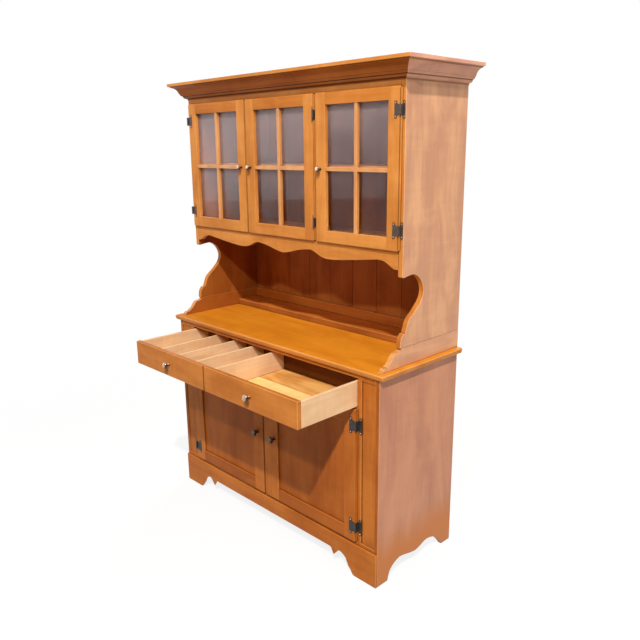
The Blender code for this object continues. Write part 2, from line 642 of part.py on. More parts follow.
def upper_door(name, xs, side, knob_x, hinge):
    """A glazed door of four lights, hung at its left (-1) or right (+1) edge."""
    axis = hinge_axis(xs, side, UPPER_FACE_D)
    pivot = empty(name + "_pivot", front_spot(axis[0], UPPER_DOOR_LOW_Z, axis[1]))
    zs = (UPPER_DOOR_LOW_Z, UPPER_DOOR_TOP_Z)
    light_xs = (xs[0] + UPPER_STILE_W, xs[1] - UPPER_STILE_W)
    light_zs = (zs[0] + UPPER_BOTTOM_RAIL_W, zs[1] - UPPER_TOP_RAIL_W)
    mid_x = sum(light_xs) / 2
    mid_z = sum(light_zs) / 2
    half = MUNTIN_W / 2
    front = UPPER_FACE_D + OVERRUN
    rear = UPPER_FACE_D - DOOR_T - OVERRUN
    body = door_slab(xs, zs, UPPER_FACE_D, (DOOR_LIP, DOOR_LIP), UPPER_DOOR_CORNER_R)
    body = cut_box(body, light_xs, (UPPER_FACE_D - MUNTIN_SETBACK, front), light_zs)
    rebate_xs = (light_xs[0] - GLASS_REBATE, light_xs[1] + GLASS_REBATE)
    rebate_zs = (light_zs[0] - GLASS_REBATE, light_zs[1] + GLASS_REBATE)
    body = cut_box(body, rebate_xs, (rear, UPPER_FACE_D - GLASS_SETBACK), rebate_zs)
    for pane_xs in ((light_xs[0], mid_x - half), (mid_x + half, light_xs[1])):
        for pane_zs in ((light_zs[0], mid_z - half), (mid_z + half, light_zs[1])):
            body = cut_box(body, pane_xs, (rear, front), pane_zs)
    piece(name + "_frame", body, MAPLE, pivot)
    seat = GLASS_REBATE - GAP
    glass_front = UPPER_FACE_D - GLASS_SETBACK - GAP
    board(name + "_glass", (light_xs[0] - seat, light_xs[1] + seat), (glass_front - GLASS_T, glass_front),
          (light_zs[0] - seat, light_zs[1] + seat), CLEAR_GLASS, pivot)
    bm = bmesh.new()
    knob(bm, knob_x, UPPER_FACE_D, mid_z, SMALL_KNOB_R, SMALL_KNOB_OUT)
    piece(name + "_knob", bm, NICKEL, pivot)
    for place, z in zip(HINGE_PLACES, UPPER_HINGE_ZS):
        door_leaf(name + "_leaf_" + place, axis, side, z, hinge, UPPER_FACE_D, pivot)
        case_leaf(name + "_hinge_" + place, axis, side, z, hinge, UPPER_D)


def lower_door(name, xs, side, panel_xs, knob_x):
    """A door with a flat panel set back in its frame, hung at its outer edge."""
    axis = hinge_axis(xs, side, LOWER_FACE_D)
    pivot = empty(name + "_pivot", front_spot(axis[0], LOWER_DOOR_LOW_Z, axis[1]))
    zs = (LOWER_DOOR_LOW_Z, LOWER_DOOR_TOP_Z)
    lips = (0.0, LOWER_DOOR_LAP) if side > 0 else (LOWER_DOOR_LAP, 0.0)
    panel_zs = (zs[0] + LOWER_BOTTOM_RAIL_W, zs[1] - LOWER_TOP_RAIL_W)
    body = door_slab(xs, zs, LOWER_FACE_D, lips, LOWER_DOOR_CORNER_R)
    body = cut_box(body, panel_xs, (LOWER_FACE_D - DOOR_T - OVERRUN, LOWER_FACE_D + OVERRUN), panel_zs)
    groove_ds = (LOWER_FACE_D - PANEL_SETBACK - PANEL_T - GAP, LOWER_FACE_D - PANEL_SETBACK + GAP)
    body = cut_box(body, (panel_xs[0] - PANEL_GROOVE, panel_xs[1] + PANEL_GROOVE), groove_ds,
                   (panel_zs[0] - PANEL_GROOVE, panel_zs[1] + PANEL_GROOVE))
    piece(name + "_frame", body, MAPLE, pivot)
    seat = PANEL_GROOVE - GAP
    front = LOWER_FACE_D - PANEL_SETBACK
    board(name + "_panel", (panel_xs[0] - seat, panel_xs[1] + seat), (front - PANEL_T, front),
          (panel_zs[0] - seat, panel_zs[1] + seat), MAPLE, pivot)
    bm = bmesh.new()
    knob(bm, knob_x, LOWER_FACE_D, LOWER_KNOB_Z, KNOB_R, KNOB_OUT)
    piece(name + "_knob", bm, NICKEL, pivot)
    for place, z in zip(HINGE_PLACES, LOWER_HINGE_ZS):
        door_leaf(name + "_leaf_" + place, axis, side, z, LOWER_HINGE, LOWER_FACE_D, pivot)
        case_leaf(name + "_hinge_" + place, axis, side, z, LOWER_HINGE, BASE_D)


# H hinges, each a leaf on the door and a leaf with the pin on the case
def hinge_axis(xs, side, face_d):
    """Where a door turns: just past its edge and in front of its face, as x and depth."""
    edge_x = xs[1] if side > 0 else xs[0]
    return (edge_x + side * GAP * 2, face_d + GAP + BARREL_R)


def leaf_plate(near, far, z, hinge, face_d):
    """A leaf's flat plate: a tall bar at its far edge, and a lower web towards the barrel."""
    tall = hinge[0] / 2
    web = hinge[1] / 2
    step = far - math.copysign(hinge[2], far - near)
    outline = [(near, z - web), (step, z - web), (step, z - tall), (far, z - tall), (far, z + tall),
               (step, z + tall), (step, z + web), (near, z + web)]
    bm = bmesh.new()
    prism(bm, outline, front_spot, face_d + GAP, face_d + GAP + LEAF_T)
    return bm


def door_leaf(name, axis, side, z, hinge, face_d, pivot):
    """The leaf on the door, with a tongue to the bored middle knuckle."""
    near = axis[0] - side * (BARREL_R + GAP)
    body = leaf_plate(near, axis[0] - side * (BARREL_R + hinge[4]), z, hinge, face_d)
    own = (hinge[1] / KNUCKLES - GAP) / 2
    tongue = bmesh.new()
    xs = sorted((near - side * MIDDLE_BAR_W, axis[0] - side * BORE_R))
    box(tongue, xs, (face_d + GAP, face_d + GAP + LEAF_T), (z - own, z + own))
    body = combined(body, tongue, "UNION")
    centre = front_spot(axis[0], z, axis[1])
    knuckle = bmesh.new()
    cylinder(knuckle, BARREL_R, centre, own)
    body = combined(body, knuckle, "UNION")
    bore = bmesh.new()
    cylinder(bore, BORE_R, centre, own + OVERRUN)
    piece(name, combined(body, bore, "DIFFERENCE"), PEWTER, pivot)


def case_leaf(name, axis, side, z, hinge, face_d):
    """The leaf on the case, with an arm to each outer knuckle and the pin that they hold."""
    web = hinge[1] / 2
    own = hinge[1] / KNUCKLES / 2
    near = axis[0] + side * GAP
    body = leaf_plate(near, near + side * hinge[3], z, hinge, face_d)
    for low, high in ((z - web, z - own), (z + own, z + web)):
        arm = bmesh.new()
        box(arm, sorted((near, near + side * LEAF_T)), (face_d + GAP, axis[1]), (low, high))
        body = combined(body, arm, "UNION")
    half = [(PIN_R, 0.0), (PIN_R, own), (BARREL_R, own), (BARREL_R, web), (PIN_HEAD_R, web),
            (PIN_HEAD_R, web + PIN_HEAD_H / 2), (0.0, web + PIN_HEAD_H)]
    profile = [(r, -up) for r, up in reversed(half[1:])] + half[1:]
    barrel = bmesh.new()
    turned(barrel, profile, front_spot(axis[0], z, axis[1]), (0, 0, 1), HINGE_SIDES)
    piece(name, combined(body, barrel, "UNION"), PEWTER)


# Drawer
def drawer():
    """A wide drawer whose floor carries four dividers, and whose front is grooved as if it were two."""
    pivot = empty("drawer_slide", front_spot(0.0, DRAWER_LOW_Z, DRAWER_FRONT_D))
    inner_d = DRAWER_FRONT_D - DRAWER_FRONT_T
    half = DRAWER_HALF_W
    zs = (DRAWER_LOW_Z, DRAWER_TOP_Z)
    groove = DRAWER_SPLIT_W / 2
    outline = [(-half, inner_d), (half, inner_d), (half, DRAWER_FRONT_D),
               (DRAWER_SPLIT_X + groove, DRAWER_FRONT_D),
               (DRAWER_SPLIT_X, DRAWER_FRONT_D - DRAWER_SPLIT_DEPTH),
               (DRAWER_SPLIT_X - groove, DRAWER_FRONT_D), (-half, DRAWER_FRONT_D)]
    bm = bmesh.new()
    prism(bm, outline, plan_spot, zs[0], zs[1])
    piece("drawer_front", bm, MAPLE, pivot)
    side_zs = (zs[0], zs[1] - DRAWER_SIDE_DROP)
    side_ds = (DRAWER_REAR_D, inner_d - GAP)
    side_xs = (half - DRAWER_SIDE_T, half)
    board("drawer_side_left", mirrored(side_xs), side_ds, side_zs, PALE_MAPLE, pivot)
    board("drawer_side_right", side_xs, side_ds, side_zs, PALE_MAPLE, pivot)
    inner_xs = (-side_xs[0] + GAP, side_xs[0] - GAP)
    back_ds = (DRAWER_REAR_D, DRAWER_REAR_D + DRAWER_SIDE_T)
    board("drawer_back", inner_xs, back_ds, side_zs, PALE_MAPLE, pivot)
    floor_ds = (back_ds[1] + GAP, inner_d - GAP)
    floor_zs = (zs[0] + DRAWER_FLOOR_UP, zs[0] + DRAWER_FLOOR_UP + DRAWER_FLOOR_T)
    outline = [(inner_xs[0], floor_zs[0]), (inner_xs[1], floor_zs[0]), (inner_xs[1], floor_zs[1])]
    for x in reversed(DIVIDER_XS):
        near, far = x + DIVIDER_T / 2, x - DIVIDER_T / 2
        outline += [(near, floor_zs[1]), (near, side_zs[1]), (far, side_zs[1]), (far, floor_zs[1])]
    outline.append((inner_xs[0], floor_zs[1]))
    bm = bmesh.new()
    prism(bm, outline, front_spot, *floor_ds)
    piece("drawer_bottom", bm, PALE_MAPLE, pivot)
    for name, x in (("drawer_knob_left", -DRAWER_KNOB_X), ("drawer_knob_right", DRAWER_KNOB_X)):
        bm = bmesh.new()
        knob(bm, x, DRAWER_FRONT_D, sum(zs) / 2, KNOB_R, KNOB_OUT)
        piece(name, bm, NICKEL, pivot)


def doors():
    left, middle, right = upper_door_spans()
    edge = UPPER_KNOB_EDGE
    upper_door("upper_door_left", left, -1, left[1] - edge, UPPER_HINGE)
    upper_door("upper_door_middle", middle, 1, middle[0] + edge, MIDDLE_HINGE)
    upper_door("upper_door_right", right, 1, right[0] + edge, UPPER_HINGE)
    half_gap = LOWER_DOOR_SPLIT_GAP / 2
    outer = LOWER_DOOR_OUTER_X
    panel_outer = outer - LOWER_STILE_W
    lower_door("lower_door_left", (-outer, LOWER_DOOR_SPLIT_X - half_gap), -1,
               (-panel_outer, -LOWER_PANEL_INNER_X), LOWER_KNOB_XS[0])
    lower_door("lower_door_right", (LOWER_DOOR_SPLIT_X + half_gap, outer), 1,
               (LOWER_PANEL_INNER_X, panel_outer), LOWER_KNOB_XS[1])


def main():
    clear_scene()
    base_sides()
    base_face_frame()
    apron()
    base_inside()
    counter()
    gallery()
    upper_sides()
    plank_back()
    upper_boards()
    upper_face_frame()
    crown()
    doors()
    drawer()


main()
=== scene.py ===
"""China hutch: the finish of its wood, glass and metal, with its light, floor and camera."""

import json
import math

import bmesh
import bpy
from bpy.props import FloatProperty, FloatVectorProperty, IntProperty, PointerProperty
from mathutils import Matrix, Vector


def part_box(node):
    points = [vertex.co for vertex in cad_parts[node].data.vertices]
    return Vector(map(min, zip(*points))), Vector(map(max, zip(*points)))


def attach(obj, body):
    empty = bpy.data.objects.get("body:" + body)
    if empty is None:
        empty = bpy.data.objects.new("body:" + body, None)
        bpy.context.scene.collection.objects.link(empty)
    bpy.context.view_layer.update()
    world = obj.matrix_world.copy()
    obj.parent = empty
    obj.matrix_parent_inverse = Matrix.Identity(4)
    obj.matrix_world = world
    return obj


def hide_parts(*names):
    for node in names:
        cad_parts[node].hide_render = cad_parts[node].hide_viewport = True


bl_info = {
    "name": "China Hutch",
    "version": (1, 0, 0),
    "blender": (4, 5, 0),
    "location": "View3D > Sidebar > Hutch",
    "description": "Dresses the frame of a china hutch in stained maple, glass, pewter and nickel",
    "category": "Object",
}

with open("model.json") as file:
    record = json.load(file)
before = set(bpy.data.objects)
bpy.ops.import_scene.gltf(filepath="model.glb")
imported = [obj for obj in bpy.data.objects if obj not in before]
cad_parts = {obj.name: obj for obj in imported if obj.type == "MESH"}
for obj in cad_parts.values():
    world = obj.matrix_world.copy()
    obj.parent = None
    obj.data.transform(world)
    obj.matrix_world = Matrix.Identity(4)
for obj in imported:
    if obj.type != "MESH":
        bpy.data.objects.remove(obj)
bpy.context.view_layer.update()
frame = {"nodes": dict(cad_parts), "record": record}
NODES = frame["nodes"]
BODY_OF = {node: body for body, nodes in frame["record"]["behaviour"]["bodies"].items() for node in nodes}
JOINT_OF = {joint["child"]: joint for joint in frame["record"]["behaviour"]["joints"]}
SIDES = ("left", "right")
UPPER_DOORS = ("upper_door_left", "upper_door_middle", "upper_door_right")
LOWER_DOORS = ("lower_door_left", "lower_door_right")

# Mesh tolerances
WELD = 0.00002
FLAT = math.radians(1.0)
SHARP = math.radians(31.0)
SMOOTH = math.radians(37.0)
CROWN_SHARP = math.radians(28.0)
CROWN_SMOOTH = math.radians(24.0)

# Grooves and gaps darkened with painted shade, and the crown's, as heights above its foot
GROOVE_REACH = 0.0045
DRAWER_SPLIT_X = -0.016
DOOR_GAP = 0.0015
FRONT_GROOVES = ((0.0040, 0.0085), (0.0120, 0.0176))
END_GROOVES = ((-0.0010, 0.0041), (0.0130, 0.0176), (0.0520, 0.0552))
CROWN_FILLET = 0.0060

# Where one board meets the next
REBATE = {"glass": 0.0057, "panel": 0.0077}
MUNTIN_HALF = 0.0075
DRAWER_PLAY = 0.002
TOP_RAIL_LAP = 0.009
SCROLL_DROP = 0.03
TRAY_T = 0.0052
SAPWOOD_W = 0.205

# Rows of rails and of dividers, so that each gets a board number of its own
RAILS_PER_M = 4
DIVIDERS_PER_M = 9

# How far a face has to look up to be a top or to be level, and how far sideways to be a side or a wall
TOP_FACE = 0.9
LEVEL_FACE = 0.7
SIDE_FACE = 0.5
WALL_FACE = 0.95

# Edges of their own: finer outer ones, and wider inner corners on the crown
FRAME_EASE = 0.0006
PLANK_EASE = 0.0004
CROWN_CREVICE = 0.0016

# Scales of the grain: along a board, and across it both ways
LINES = (8.0, 430.0, 430.0)
BANDS = (2.0, 36.0, 36.0)
CLOUDS = (2.6, 8.0, 8.0)
CURL = (34.0, 6.0, 6.0)
FLECKS = (60.0, 900.0, 900.0)

# How much each of them adds to the figure, and how much a fleck darkens it
LINE_SHARE = 0.18
BAND_SHARE = 0.55
CLOUD_SHARE = 1.7
CURL_SHARE = 0.30
FLECK_SHARE = 0.12

# Lighter outer edges, wear and painted highlight; darker inner corners, stained lacquer and painted shade;
# and the stained foot of the base's sides
WEAR_HIGHLIGHT_SHARE = 0.72
WEAR_HIGHLIGHT_RUB = (0.25, 0.17, 0.08)
EDGE_WEAR_HIGHLIGHT = 0.50
EDGE_STAIN_SHADE = 0.75
STAIN_SHADE_SHARE = 0.88
STAIN_SHADE_TONE = 0.20
FOOT_HEIGHT = 0.16

# Hinges: the knuckle, and its bore and pin as shares of its radius
KNUCKLE_R = 0.0035
KNUCKLE_EASE = 0.0004
KNUCKLE_GAP = 0.0002
BORE_SHARE = 0.52
PIN_SHARE = 0.43
HINGE_STEPS = 24

# Their leaves: a web beside the pin, then a bar with rounded tips, with a notch between them
SHEET = 0.0015
LEAF_GAP = 0.0003
WEB = 0.56
WEB_CLEAR = 0.0006
TONGUE_SHARE = 0.7
BAR_SHARE = 0.38
DOOR_BAR_GAP = 0.0008
CASE_BAR_GAP = 0.0016
NO_NOTCH = 0.002
NOTCH_SHARE = 0.55
NOTCH_LOW = 0.0010
NOTCH_HIGH = 0.0040
CORNER_ROUND = 0.0008
CORNER_SHARE = 0.40
TIP_DROP = 0.0030
TIP_ROUND = 0.0008
TIP_SHARE = 0.18

# Their screws, where a leaf has room for them
DOOR_SCREW_ROOM = 0.012
CASE_SCREW_ROOM = 0.006
SCREW_INSET = 0.006
SCREW_HEIGHT = 0.0009
SCREW_TOP_SHARE = 0.8
SCREW_RIM_SHARE = 0.25
SCREW_TURN = 900
SCREW_STEPS = 16
SLOT_HALF = 0.0004
SLOT_DEPTH = 0.0006

# A pin's end: shares of its radius, and heights over its leaf's web
PIN_END = ((1.7, 0.0), (1.75, 0.0008), (1.3, 0.0019), (0.6, 0.0024), (0.0, 0.0025))

# The photograph's frame
PHOTO_SIZE = 640
SENSOR = 36.0

# A knob's profile: shares of its radius and of its reach
KNOB_SHARES = ((0.50, 0.0), (0.50, 0.05), (0.44, 0.12), (0.35, 0.22), (0.31, 0.34), (0.33, 0.46),
               (0.50, 0.55), (0.82, 0.62), (0.96, 0.69), (1.0, 0.77), (0.97, 0.85), (0.86, 0.93),
               (0.66, 0.975), (0.36, 0.995))

# The floor turns white between these distances, and is nearly so before them
WHITE_FROM = 1.0
WHITE_TO = 2.8
WHITE_NEAR = 0.84

# Lamps, all aimed at one spot: place, width and tint
AIM = (0.0, 0.0, 1.0)
LAMPS = {
    "key": ((4.60, -5.00, 8.07), 0.25, (1.0, 0.985, 0.96)),
    "second": ((2.13, -3.00, 3.52), 0.15, (1.0, 0.985, 0.96)),
    "left": ((-2.8, -2.2, 2.2), 2.4, (0.90, 0.95, 1.0)),
    "right": ((4.2, 0.6, 2.4), 2.0, (1.0, 0.99, 0.98)),
    "rear": ((-1.4, 3.3, 2.8), 2.4, (1.0, 0.98, 0.96)),
}


def swatch(name, description, default):
    """A colour that can be set."""
    return FloatVectorProperty(name=name, description=description, subtype="COLOR", size=3, min=0, max=1,
                               default=default)


class HutchWood(bpy.types.PropertyGroup):
    honey: swatch("Honey", "Stained maple, at its palest", (0.70, 0.275, 0.060))
    amber: swatch("Amber", "Stained maple, at its darkest", (0.51, 0.170, 0.029))
    russet: swatch("Russet", "Lower frames, at their palest", (0.53, 0.162, 0.024))
    chestnut: swatch("Chestnut", "Lower frames, at their darkest", (0.37, 0.095, 0.011))
    ginger: swatch("Ginger", "Lower panels, at their palest", (0.43, 0.115, 0.014))
    umber: swatch("Umber", "Lower panels, at their darkest", (0.30, 0.070, 0.007))
    gold: swatch("Gold", "Counter maple, at its palest", (0.77, 0.272, 0.017))
    bronze: swatch("Bronze", "Counter maple, at its darkest", (0.60, 0.185, 0.010))
    blush: swatch("Blush", "Side maple, at its palest", (0.72, 0.370, 0.185))
    rose: swatch("Rose", "Side maple, at its darkest", (0.54, 0.255, 0.140))
    dusk: swatch("Dusk", "Inner faces, at their palest", (0.46, 0.140, 0.022))
    peat: swatch("Peat", "Inner faces, at their darkest", (0.32, 0.084, 0.011))
    pale: swatch("Pale", "Drawer maple, at its palest", (0.84, 0.57, 0.335))
    straw: swatch("Straw", "Drawer maple, at its darkest", (0.70, 0.41, 0.205))
    tray: swatch("Tray", "Drawer floor, at its palest", (0.86, 0.46, 0.135))
    tan: swatch("Tan", "Drawer floor, at its darkest", (0.62, 0.25, 0.052))
    ease: FloatProperty(name="Ease", description="Width of the softened edges", unit="LENGTH",
                        default=0.0018, min=0.0002, max=0.004)
    door_ease: FloatProperty(name="Door ease", description="Width of the doors' inner edges",
                             unit="LENGTH", default=0.0011, min=0.0002, max=0.004)
    crevice: FloatProperty(name="Crevice", description="Width of the stain left in inner corners",
                           unit="LENGTH", default=0.0011, min=0.0001, max=0.004)
    plank: FloatProperty(name="Plank", description="Width of one back plank", unit="LENGTH",
                         default=0.1333, min=0.05, max=0.4)


class HutchMetal(bpy.types.PropertyGroup):
    pewter: swatch("Pewter", "Hinges", (0.026, 0.022, 0.020))
    bronzed: swatch("Bronzed", "Hinges of the glazed doors", (0.056, 0.038, 0.030))
    nickel: swatch("Nickel", "Knobs", (0.70, 0.46, 0.31))
    # A dark nickel for the lower doors' knobs: painted shade and dark reflection
    tarnish: swatch("Tarnish", "Knobs of the lower doors", (0.11, 0.080, 0.058))
    screw_radius: FloatProperty(name="Screw", description="Radius of a hinge screw's head", unit="LENGTH",
                                default=0.0026, min=0.001, max=0.006)
    knob_steps: IntProperty(name="Knob steps", description="Sides of a turned knob", default=48, min=12)


class HutchStage(bpy.types.PropertyGroup):
    place: FloatVectorProperty(name="Camera", description="Where the camera stands", subtype="TRANSLATION",
                               size=3, default=(1.97235, -1.69624, 1.56364))
    yaw: FloatProperty(name="Yaw", description="Camera turned left of the rear", default=0.80079)
    pitch: FloatProperty(name="Pitch", description="Camera tipped up", default=-0.25205)
    roll: FloatProperty(name="Roll", description="Camera rolled", default=0.01079)
    focal: FloatProperty(name="Focal", description="Focal length in pixels of the photograph",
                         default=667.73)
    centre: FloatVectorProperty(name="Centre", description="Optical centre in the photograph's pixels",
                                size=2, default=(316.16, 318.60))
    key: FloatProperty(name="Key", description="Power of the key light", default=900.0, min=0)
    second: FloatProperty(name="Second", description="Power of the nearer light", default=70.0, min=0)
    left: FloatProperty(name="Left", description="Power of the soft light on the left", default=17.0, min=0)
    right: FloatProperty(name="Right", description="Power of the soft light on the right", default=36.0,
                         min=0)
    rear: FloatProperty(name="Rear", description="Power of the soft light behind", default=90.0, min=0)
    room: FloatProperty(name="Room", description="Strength of the room's own light", default=0.08, min=0)
    floor: FloatProperty(name="Floor", description="Half the floor's width", unit="LENGTH", default=12.0)


class Wire:
    """A shader socket that adds Math nodes when it is summed or multiplied."""

    def __init__(self, shader, socket):
        self.shader = shader
        self.socket = socket

    def math(self, operation, first, second):
        return self.shader.node("ShaderNodeMath", {"operation": operation}, {0: first, 1: second})["Value"]

    def __add__(self, other):
        return self.math("ADD", self, other)

    def __radd__(self, other):
        return self.math("ADD", other, self)

    def __sub__(self, other):
        return self.math("SUBTRACT", self, other)

    def __rsub__(self, other):
        return self.math("SUBTRACT", other, self)

    def __mul__(self, other):
        return self.math("MULTIPLY", self, other)

    def __rmul__(self, other):
        return self.math("MULTIPLY", other, self)

    def over(self, low, high):
        """0 under low, 1 over high, smooth between."""
        inputs = {"Value": self, "From Min": low, "From Max": high}
        return self.shader.node("ShaderNodeMapRange", {"interpolation_type": "SMOOTHSTEP"}, inputs)["Result"]


class Outputs:
    """A node's outputs by name or number, as wires."""

    def __init__(self, shader, node):
        self.shader = shader
        self.made = node

    def __getitem__(self, name):
        return Wire(self.shader, self.made.outputs[name])


class Shader:
    """One material or world, and the nodes it is made of."""

    def __init__(self, holder):
        self.holder = holder
        holder.use_nodes = True
        self.tree = holder.node_tree
        self.tree.nodes.clear()

    def node(self, kind, settings=None, inputs=None):
        """A new node with its settings and inputs, linked where an input is a wire."""
        made = self.tree.nodes.new(kind)
        for name, value in (settings or {}).items():
            setattr(made, name, value)
        for name, value in (inputs or {}).items():
            if isinstance(value, Wire):
                self.tree.links.new(value.socket, made.inputs[name])
            else:
                made.inputs[name].default_value = value
        return Outputs(self, made)

    def noise(self, vector, scale, detail=2.0, rough=0.5, bend=0.0):
        """Soft noise, from 0 to 1, with its own scale along each way of the vector."""
        scaled = self.node("ShaderNodeVectorMath", {"operation": "MULTIPLY"}, {0: vector, 1: scale})["Vector"]
        return self.node("ShaderNodeTexNoise", {}, {
            "Vector": scaled, "Scale": 1.0, "Detail": detail, "Roughness": rough, "Distortion": bend})["Fac"]

    def mix(self, share, first, second):
        """One colour into another."""
        return self.node("ShaderNodeMix", {"data_type": "RGBA"}, {0: share, 6: first, 7: second})[2]

    def close(self, surface, kind="ShaderNodeOutputMaterial"):
        """Send the surface to the output, and give back what holds it."""
        self.node(kind, {}, {"Surface": surface})
        return self.holder


def colour(value, gain=1.0):
    """An opaque colour, each channel times the gain."""
    return tuple(channel * gain for channel in value) + (1.0,)


# Finishes
def once(dress):
    """A finish under a name: dressed the first time it is asked for, and found after that."""

    def named(name, *settings, **more):
        return bpy.data.materials.get(name) or dress(Shader(bpy.data.materials.new(name)), *settings, **more)

    return named


def toned(first, second, shares=(1.0, 1.0, 1.0)):
    """Two of the wood's tones, each channel times its share."""
    tones = [getattr(bpy.context.scene.hutch_wood, name) for name in (first, second)]
    return [[channel * share for channel, share in zip(tone, shares)] for tone in tones]


@once
def wood(shader, light, dark, roughness=0.42, gloss=0.12, coat=0.0, contrast=1.15, foot=None, reach=0.008):
    """Lacquered maple: fine lines, soft bands, stained clouds and a faint curl along each board, with paler
    outer edges (wear and painted highlight) and darker inner corners (stained lacquer and painted shade).
    """
    board = shader.node("ShaderNodeAttribute", {"attribute_name": "board"})["Vector"]
    edge = shader.node("ShaderNodeAttribute", {"attribute_name": "edge"})["Fac"]
    lines = shader.noise(board, LINES, 3.0, 0.6)
    bands = shader.noise(board, BANDS, 3.0, 0.5, 1.3)
    clouds = shader.noise(board, CLOUDS, 3.0, 0.55, 0.9)
    curl = shader.noise(board, CURL, 2.0, 0.5, 0.5)
    flecks = shader.noise(board, FLECKS, 1.0).over(0.60, 0.72)
    figure = (clouds - 0.5) * CLOUD_SHARE + (bands - 0.5) * BAND_SHARE
    figure = figure + (curl - 0.5) * CURL_SHARE + (lines - 0.5) * LINE_SHARE
    base = shader.mix((figure * contrast + 0.5).over(0.0, 1.0), colour(light), colour(dark))
    if foot:
        place = shader.node("ShaderNodeTexCoord")["Object"]
        height = shader.node("ShaderNodeSeparateXYZ", {}, {"Vector": place})["Z"]
        low = height * -1.0 + clouds * FOOT_HEIGHT + FOOT_HEIGHT
        base = shader.mix(low.over(0.0, FOOT_HEIGHT), base, colour(foot))
    base = shader.mix(flecks * FLECK_SHARE, base, colour(dark, 0.7))
    # Outer edges, marked +1, turn paler: partly wear, partly painted highlight
    wear_and_highlight = colour([channel * WEAR_HIGHLIGHT_SHARE + rub for channel, rub in zip(light, WEAR_HIGHLIGHT_RUB)])
    base = shader.mix(edge.over(0.0, 1.0) * EDGE_WEAR_HIGHLIGHT, base, wear_and_highlight)
    # Inner corners and creases, found by occlusion and by the -1 mark, turn dark: partly stained lacquer,
    # partly painted shade
    near = shader.node("ShaderNodeAmbientOcclusion", {"samples": 6}, {"Distance": reach})["AO"]
    stain_and_shade = (1.0 - near).over(0.20, 0.85) + (edge * -1.0).over(0.0, 1.0) * EDGE_STAIN_SHADE
    base = shader.mix(stain_and_shade.over(0.0, 1.0) * STAIN_SHADE_SHARE, base, colour(dark, STAIN_SHADE_TONE))
    height = lines * 0.6 + bands * 0.3 - flecks * 0.5
    bump = shader.node("ShaderNodeBump", {}, {"Strength": 0.10, "Distance": 0.0004, "Height": height})
    surface = shader.node("ShaderNodeBsdfPrincipled", {}, {
        "Base Color": base,
        "Roughness": (clouds - 0.5) * 0.16 + (lines - 0.5) * 0.08 + roughness,
        "Normal": bump["Normal"],
        "Specular IOR Level": gloss,
        "Coat Weight": coat,
        "Coat Roughness": 0.25,
        "IOR": 1.45,
    })
    return shader.close(surface["BSDF"])


def honey_maple():
    """Frames and edges of the glazed top, and the counter's edge."""
    return wood("honey_maple", *toned("honey", "amber"))


def deep_maple():
    """Frames of the base: the honey maple made darker, painted shade of the light falling off downward."""
    return wood("deep_maple", *toned("russet", "chestnut"))


def crown_maple():
    """The crown's front, in its own shadow."""
    return wood("crown_maple", *toned("ginger", "umber"), reach=0.018)


def bead_maple():
    """Painted shade in the grooves of the crown's front."""
    return wood("bead_maple", *toned("ginger", "umber", (0.46, 0.46, 0.46)))


def crown_end_maple():
    """The crown's ends: paler and pinker, like the sides, partly their own figure and partly painted sheen.
    """
    light, dark = toned("blush", "rose", (1.08, 1.05, 1.32))
    return wood("crown_end_maple", light, dark, 0.42, 0.25, 0.0, 1.5, reach=0.018)


def end_groove_maple():
    """Painted shade in the grooves of the crown's ends."""
    return wood("end_groove_maple", *toned("blush", "rose", (0.58, 0.58, 0.58)))


def hidden_maple():
    """The drawer's back, deep under the counter, painted dark: painted shade."""
    return wood("hidden_maple", *toned("dusk", "peat", (0.34, 0.34, 0.34)), 0.6)


def drawer_maple():
    """The drawer's front, the glazed doors' top rails and the scrolls' edges."""
    return wood("drawer_maple", *toned("honey", "amber", (0.86, 0.76, 0.60)))


def panel_maple():
    """Panels and bottom rails of the lower doors, and the base sides' edges: darker still, painted shade of
    the light falling off downward.
    """
    return wood("panel_maple", *toned("ginger", "umber"))


def counter_maple():
    """The counter's top face."""
    return wood("counter_maple", *toned("gold", "bronze"), 0.45, 0.10)


def side_maple():
    """Outer faces of the glazed top's sides, with a clear coat: paler and pinker, partly their own figure and
    partly painted sheen.
    """
    return wood("side_maple", *toned("blush", "rose"), 0.42, 0.35, 0.10, 1.5)


def base_side_maple():
    """Outer faces of the base's sides, with russet feet: the side maple made darker, painted shade of the
    light falling off downward.
    """
    russet = bpy.context.scene.hutch_wood.russet
    light, dark = toned("blush", "rose", (0.83, 0.70, 0.70))
    return wood("base_side_maple", light, dark, 0.42, 0.35, 0.10, 1.1, russet)


def shaded_maple():
    """Inner faces, the backs and the base's bottom."""
    return wood("shaded_maple", *toned("dusk", "peat"), 0.5)


def niche_maple():
    """The ledge's front, and the inner faces of the tall sides: painted shade, darker than the shaded maple.
    """
    return wood("niche_maple", *toned("dusk", "peat", (0.82, 0.82, 0.82)), 0.5)


def rubbed_maple():
    """The muntins and the gallery's edges, paler and glossier: painted highlight."""
    return wood("rubbed_maple", *toned("honey", "amber", (1.05, 1.18, 1.7)), 0.30, 0.5)


def ledge_maple():
    """The ledge behind the counter, and the board over it: the shaded maple made lighter and redder, still
    painted shade.
    """
    return wood("ledge_maple", *toned("dusk", "peat", (1.30, 1.18, 1.0)), 0.5)


def pale_maple():
    """The drawer's sides, its dividers and its runners."""
    return wood("pale_maple", *toned("pale", "straw"), 0.50)


def sap_maple():
    """A board of sapwood in the drawer's floor."""
    light = toned("tray", "tan", (1.13, 1.60, 2.20))[0]
    dark = toned("tray", "tan", (1.40, 2.20, 3.60))[1]
    return wood("sap_maple", light, dark, 0.50, 0.2, 0.0, 1.4)


def tray_maple():
    """The drawer's floor."""
    return wood("tray_maple", *toned("tray", "tan"), 0.50, 0.2, 0.0, 1.6)


